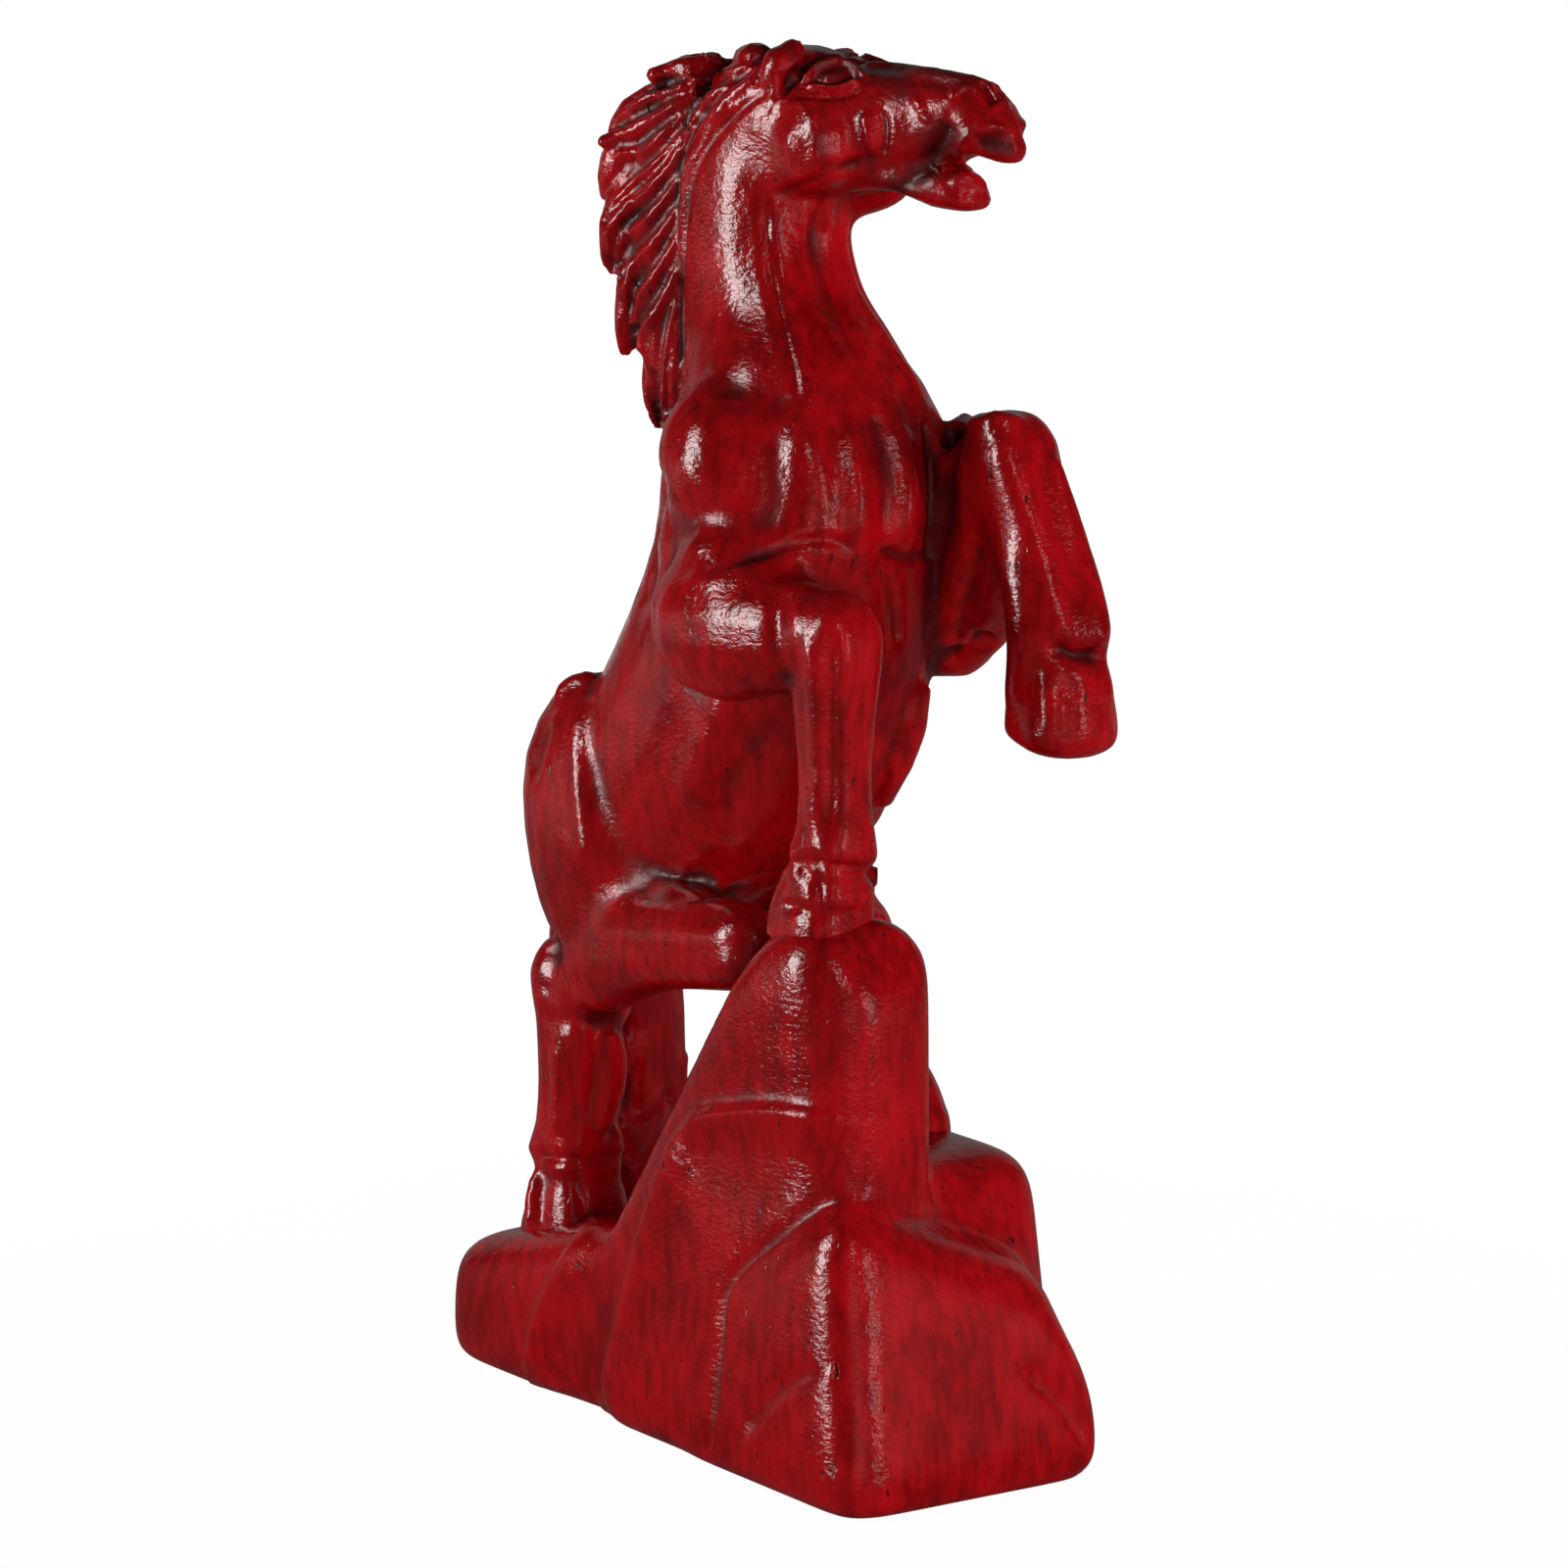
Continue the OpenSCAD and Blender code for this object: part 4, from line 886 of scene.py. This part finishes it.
maneSlab = boxCutter((-clear, -clear, maneSeam["foot"]), (maneSeam["seam"], clear, maneSeam["top"]))
maneSlab.rotation_euler = (0, 0, math.radians(maneSeam["turn"]))
pick(maneSlab)
bpy.ops.object.transform_apply(location=True, rotation=True, scale=True)
takeOut(horse, "mane", [maneSlab])
neckOutline = [
    (-far, neckSeam["foot"]), (neckSeam["front"], neckSeam["foot"]),
    (neckSeam["front"], neckSeam["frontFoot"]), (far, neckSeam["frontFoot"]), (far, far), (-far, far),
]
takeOut(horse, "neck_and_head", [prismCutter(neckOutline, -clear, clear)])
for name, blocks in limbBoxes.items():
    takeOut(horse, name, [boxCutter(low, high) for low, high in blocks])
takeOut(horse, "hind_leg_right", hindCutter(-1))
takeOut(horse, "hind_leg_left", hindCutter(1))
pieces["body"] = horse
low, high = rockSeam["foot"], rockSeam["top"]
ledgeFace = [leaning(rockSeam["ledge"], rockSeam["ledgeLean"], z) for z in (low, high)]
boulderFace = [leaning(rockSeam["boulder"], rockSeam["boulderLean"], z) for z in (low, high)]
ledgeOutline = [(-far, low), *ledgeFace, (-far, high)]
boulderOutline = [boulderFace[0], (far, low), (far, high), boulderFace[1]]
takeOut(rock, "rear_ledge", [prismCutter(ledgeOutline, -clear, clear)])
leftBlock = boxCutter((-far, rockSeam["left"], low), (far, clear, high))
takeOut(rock, "left_boulder", [leftBlock])
takeOut(rock, "front_boulder", [prismCutter(boulderOutline, -clear, clear)])
pieces["rock_peak"] = rock
for name, piece in pieces.items():
    print(name, len(piece.data.vertices), len(piece.data.polygons))


# Materials are node trees on object coordinates.
def addNode(tree, kind, links=None, **values):
    node = tree.nodes.new(kind if kind.startswith("NodeGroup") else "ShaderNode" + kind)
    for key in ("data_type", "operation", "attribute_name", "node_tree"):
        if key in values:
            setattr(node, key, values.pop(key))
    for key, value in values.items():
        socket(node, key).default_value = value
    for key, source in (links or {}).items():
        tree.links.new(source, socket(node, key))
    return node


def socket(node, key):
    if isinstance(key, int):
        return node.inputs[key]
    return next(entry for entry in node.inputs if entry.name == key and entry.enabled)


def emptyTree(owner):
    owner.use_nodes = True
    owner.node_tree.nodes.clear()
    return owner.node_tree


def noise(tree, space, **look):
    return addNode(tree, "TexNoise", {"Vector": space}, **look).outputs["Fac"]


def ranged(tree, value, fromMin, fromMax, toMin=0.0, toMax=1.0):
    limits = {"From Min": fromMin, "From Max": fromMax, "To Min": toMin, "To Max": toMax}
    return addNode(tree, "MapRange", {"Value": value}, **limits).outputs["Result"]


def tinted(tree, level, look):
    ramp = addNode(tree, "ValToRGB", {"Fac": level})
    ramp.color_ramp.elements[0].color = look["deep"]
    ramp.color_ramp.elements[1].color = look["bright"]
    return ramp.outputs["Color"]


def woodGrain():
    look = {
        "streaks": {"Scale": 1.0, "Detail": 4.0, "Roughness": 0.55},
        "pits": {"Scale": 2.1, "Detail": 0.0}, "pores": (0.79, 0.84, 0.0, 0.8),
    }
    group = bpy.data.node_groups.new("woodGrain", "ShaderNodeTree")
    for name in ("Across", "Along"):
        group.interface.new_socket(name, in_out="INPUT", socket_type="NodeSocketFloat")
    for name in ("Streaks", "Pores"):
        group.interface.new_socket(name, in_out="OUTPUT", socket_type="NodeSocketFloat")
    given = addNode(group, "NodeGroupInput").outputs
    coords = addNode(group, "TexCoord").outputs["Object"]
    scales = {"X": given["Across"], "Y": given["Across"], "Z": given["Along"]}
    stretch = addNode(group, "CombineXYZ", scales).outputs["Vector"]
    stretched = addNode(group, "VectorMath", {0: coords, 1: stretch}, operation="MULTIPLY")
    space = stretched.outputs["Vector"]
    streaks = noise(group, space, **look["streaks"])
    pores = ranged(group, noise(group, space, **look["pits"]), *look["pores"])
    addNode(group, "NodeGroupOutput", {"Streaks": streaks, "Pores": pores})
    return group


def lacquer(grain):
    look = {
        "deep": (0.165, 0.0008, 0.002, 1), "bright": (0.35, 0.002, 0.0045, 1),
        "stainAndShade": (0.02, 0.0006, 0.0009, 1), "ior": 1.45,
        "grain": {"Across": 800.0, "Along": 260.0},
        "cloud": {"Scale": 90.0, "Detail": 4.0, "Roughness": 0.6},
        "tone": (0.78, 1.2), "hollow": (0.15, 1.0, 0.0, 0.85), "rough": (0.0, 0.8, 0.14, 0.4),
        "peelScale": (1300, 1300, 2300), "peel": {"Scale": 1.0, "Detail": 2.0, "Roughness": 0.6},
        "tool": {"Scale": 260.0, "Detail": 2.0},
        "fineBump": {"Strength": 0.7, "Distance": 0.00012},
        "poreBump": {"Strength": 0.5, "Distance": 0.0001},
        "toolBump": {"Strength": 0.5, "Distance": 0.0003},
    }
    material = bpy.data.materials.new("redLacquer")
    tree = emptyTree(material)
    coords = addNode(tree, "TexCoord").outputs["Object"]
    hollow = addNode(tree, "Attribute", attribute_name="recess").outputs["Fac"]
    wood = addNode(tree, "Group", node_tree=grain, **look["grain"]).outputs
    cloud = noise(tree, coords, **look["cloud"])
    tone = addNode(tree, "Math", {0: wood["Streaks"], 1: cloud}, operation="ADD").outputs[0]
    tint = tinted(tree, ranged(tree, tone, *look["tone"]), look)
    # the colour goes toward the dark colour in wood pores, in stains, and as painted shade in hollows
    masks = {0: wood["Pores"], 1: ranged(tree, hollow, *look["hollow"])}
    darkMask = addNode(tree, "Math", masks, operation="MAXIMUM").outputs[0]
    layers = {"Factor": darkMask, "A": tint}
    stainedAndShaded = addNode(tree, "Mix", layers, data_type="RGBA", B=look["stainAndShade"])
    peelSpace = addNode(tree, "Mapping", {"Vector": coords}, Scale=look["peelScale"])
    peel = noise(tree, peelSpace.outputs["Vector"], **look["peel"])
    tool = noise(tree, coords, **look["tool"])
    fine = addNode(tree, "Bump", {"Height": peel}, **look["fineBump"]).outputs["Normal"]
    pitted = addNode(tree, "Bump", {"Height": wood["Pores"], "Normal": fine}, **look["poreBump"])
    pitted.invert = True
    tooled = {"Height": tool, "Normal": pitted.outputs["Normal"]}
    broad = addNode(tree, "Bump", tooled, **look["toolBump"]).outputs["Normal"]
    colour = next(entry for entry in stainedAndShaded.outputs if entry.enabled)
    coat = {"Base Color": colour, "Roughness": ranged(tree, hollow, *look["rough"]), "Normal": broad}
    surface = addNode(tree, "BsdfPrincipled", coat, IOR=look["ior"])
    addNode(tree, "OutputMaterial", {"Surface": surface.outputs["BSDF"]})
    return material


def paleWood(grain):
    look = {
        "deep": (0.36, 0.2, 0.09, 1), "bright": (0.6, 0.4, 0.21, 1), "rough": 0.6,
        "grain": {"Across": 900.0, "Along": 120.0},
    }
    material = bpy.data.materials.new("dowelWood")
    material.use_nodes = True
    tree = material.node_tree
    surface = tree.nodes["Principled BSDF"]
    wood = addNode(tree, "Group", node_tree=grain, **look["grain"]).outputs
    tree.links.new(tinted(tree, wood["Streaks"], look), surface.inputs["Base Color"])
    surface.inputs["Roughness"].default_value = look["rough"]
    return material


cutTurn = 0.55  # a corner whose normal agrees less with its face lies on a cut
grain = woodGrain()
redLacquer = lacquer(grain)
dowelWood = paleWood(grain)
for name, piece in pieces.items():
    piece.name = name + "Carved"
    tree, depth, ways = recess["rockLump" if name in rockNodes else "horseLump"]
    near = np.array([tree.find(spot)[1] for spot in spotsOf(piece)])
    mesh = piece.data
    layer = mesh.attributes.new("recess", "FLOAT", "POINT")
    layer.data.foreach_set("value", depth[near].astype(np.float32))
    mesh.materials.clear()
    mesh.materials.append(redLacquer)
    pick(piece)
    bpy.ops.object.shade_smooth()
    corners = rowsOf(mesh.loops, "vertex_index", 1, np.int32)[:, 0]
    sizes = rowsOf(mesh.polygons, "loop_total", 1, np.int32)[:, 0]
    faceWays = np.repeat(rowsOf(mesh.polygons, "normal", 3), sizes, axis=0)
    cornerWays = ways[near[corners]]
    onCut = (cornerWays * faceWays).sum(1) < cutTurn
    cornerWays[onCut] = faceWays[onCut]
    mesh.normals_split_custom_set(cornerWays.tolist())
    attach(piece, "root")
    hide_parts(name)
for name in ("limb_dowels", "hoof_dowels", "rock_dowels"):
    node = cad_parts[name]
    node.data.materials.clear()
    node.data.materials.append(dowelWood)
print("pieces dressed")


# The floor and the backdrop are white for the camera and dimmer for the lacquer.
def grey(level):
    return (level, level, level, 1)


def cameraMix(tree, unseen, seen, output):
    toCamera = addNode(tree, "LightPath").outputs["Is Camera Ray"]
    mixed = addNode(tree, "MixShader", {0: toCamera, 1: unseen.outputs[0], 2: seen.outputs[0]})
    addNode(tree, output, {"Surface": mixed.outputs[0]})


def whiteForCamera(tree, kind, dimmed, output):
    white = addNode(tree, kind, Color=grey(1), Strength=1.0)
    dim = addNode(tree, kind, Color=grey(1), Strength=dimmed)
    cameraMix(tree, dim, white, output)


floorLook = {"size": 4, "share": 0.92, "pale": 0.8, "bounce": 0.22, "glow": (0.1, 0.6, 1.05, 1.17)}
floorPaint = bpy.data.materials.new("floorPaint")
tree = emptyTree(floorPaint)
coords = addNode(tree, "TexCoord").outputs["Object"]
away = addNode(tree, "VectorMath", {0: coords}, operation="LENGTH").outputs["Value"]
level = ranged(tree, away, *floorLook["glow"])
glow = addNode(tree, "Emission", {"Strength": level}, Color=grey(1))
pale = addNode(tree, "BsdfDiffuse", Color=grey(floorLook["pale"]))
bounce = addNode(tree, "BsdfDiffuse", Color=grey(floorLook["bounce"]))
seen = addNode(tree, "MixShader", {1: pale.outputs[0], 2: glow.outputs[0]})
seen.inputs[0].default_value = floorLook["share"]
cameraMix(tree, bounce, seen, "OutputMaterial")
bpy.ops.mesh.primitive_plane_add(size=floorLook["size"], location=(0, 0, 0))
floor = bpy.context.active_object
floor.name = "floor"
floor.data.materials.append(floorPaint)

backdropLook = {"away": 1.1, "height": 0.45, "wide": 2.2, "dim": 0.2}  # lengths in metres
place = -backWay * np.array([1, 1, 0]) * backdropLook["away"] + np.array([0, 0, backdropLook["height"]])
bpy.ops.mesh.primitive_plane_add(size=1, location=tuple(place), rotation=(math.pi / 2, 0, turn))
backdrop = bpy.context.active_object
backdrop.name = "backdrop"
backdrop.scale = (backdropLook["wide"], 1.0, 1)
bpy.ops.object.transform_apply(location=False, rotation=False, scale=True)
backdropPaint = bpy.data.materials.new("backdropPaint")
paintTree = emptyTree(backdropPaint)
whiteForCamera(paintTree, "Emission", backdropLook["dim"], "OutputMaterial")
backdrop.data.materials.append(backdropPaint)

roomLight = 0.04
world = bpy.data.worlds.new("studio")
scene.world = world
whiteForCamera(emptyTree(world), "Background", roomLight, "OutputWorld")

# Boxes give only the gloss, fills only the light on the wood.
# Swing is degrees around from the camera's side, lift degrees above level.
boxes = {
    "leftBox": {"swing": -74, "lift": 12, "distance": 600, "size": (240, 620), "glow": 18},
    "frontBox": {"swing": 10, "lift": 30, "distance": 700, "size": (130, 130), "glow": 10},
    "rightBox": {"swing": 40, "lift": 8, "distance": 600, "size": (90, 420), "glow": 5},
}
fillForm = {"lift": 2, "distance": 700, "size": (520, 200)}
fills = {
    "leftFill": {"swing": -100, "glow": 40},
    "frontFill": {"swing": 8, "glow": 24},
    "rightFill": {"swing": 58, "glow": 22},
    "farFill": {"swing": 125, "glow": 14},
    "backFill": {"swing": 190, "glow": 20},
}
lampAim = (0, 0, 70)
rim = {"middle": 0.5, "fade": {"From Min": 0.5, "From Max": 0.1}}


def softEdge(lamp):
    # the lamp glows most in its middle and fades towards its rim
    tree = emptyTree(lamp)
    across = addNode(tree, "NewGeometry").outputs["Parametric"]
    place = addNode(tree, "SeparateXYZ", {"Vector": across})
    fades = []
    for axis in ("X", "Y"):
        off = addNode(tree, "Math", {0: place.outputs[axis]}, operation="SUBTRACT")
        off.inputs[1].default_value = rim["middle"]
        out = addNode(tree, "Math", {0: off.outputs[0]}, operation="ABSOLUTE")
        fade = addNode(tree, "MapRange", {"Value": out.outputs[0]}, **rim["fade"])
        fade.interpolation_type = "SMOOTHSTEP"
        fades.append(fade.outputs["Result"])
    both = addNode(tree, "Math", {0: fades[0], 1: fades[1]}, operation="MULTIPLY")
    glow = addNode(tree, "Emission", {"Strength": both.outputs[0]})
    addNode(tree, "OutputLight", {"Surface": glow.outputs[0]})


def softbox(name, shines, swing, lift, distance, size, glow):
    side, up = math.radians(swing), math.radians(lift)
    flat = np.array([math.sin(turn + side), -math.cos(turn + side), 0])
    spot = np.array(lampAim) + distance * (math.cos(up) * flat + math.sin(up) * np.array([0, 0, 1]))
    bpy.ops.object.light_add(type="AREA", location=tuple(spot * mm))
    lamp = bpy.context.active_object
    lamp.name = name
    lamp.data.shape = "RECTANGLE"
    lamp.data.size = size[0] * mm
    lamp.data.size_y = size[1] * mm
    lamp.data.energy = glow * math.pi * size[0] * size[1] * mm * mm
    lamp.rotation_euler = (Vector(lampAim) - Vector(spot)).to_track_quat("-Z", "Y").to_euler()
    lamp.visible_glossy = shines
    lamp.visible_diffuse = not shines
    softEdge(lamp.data)


for name, box in boxes.items():
    softbox(name, True, **box)
for name, fill in fills.items():
    softbox(name, False, **fillForm, **fill)
print("studio lit")

scene.view_settings.view_transform = "Standard"
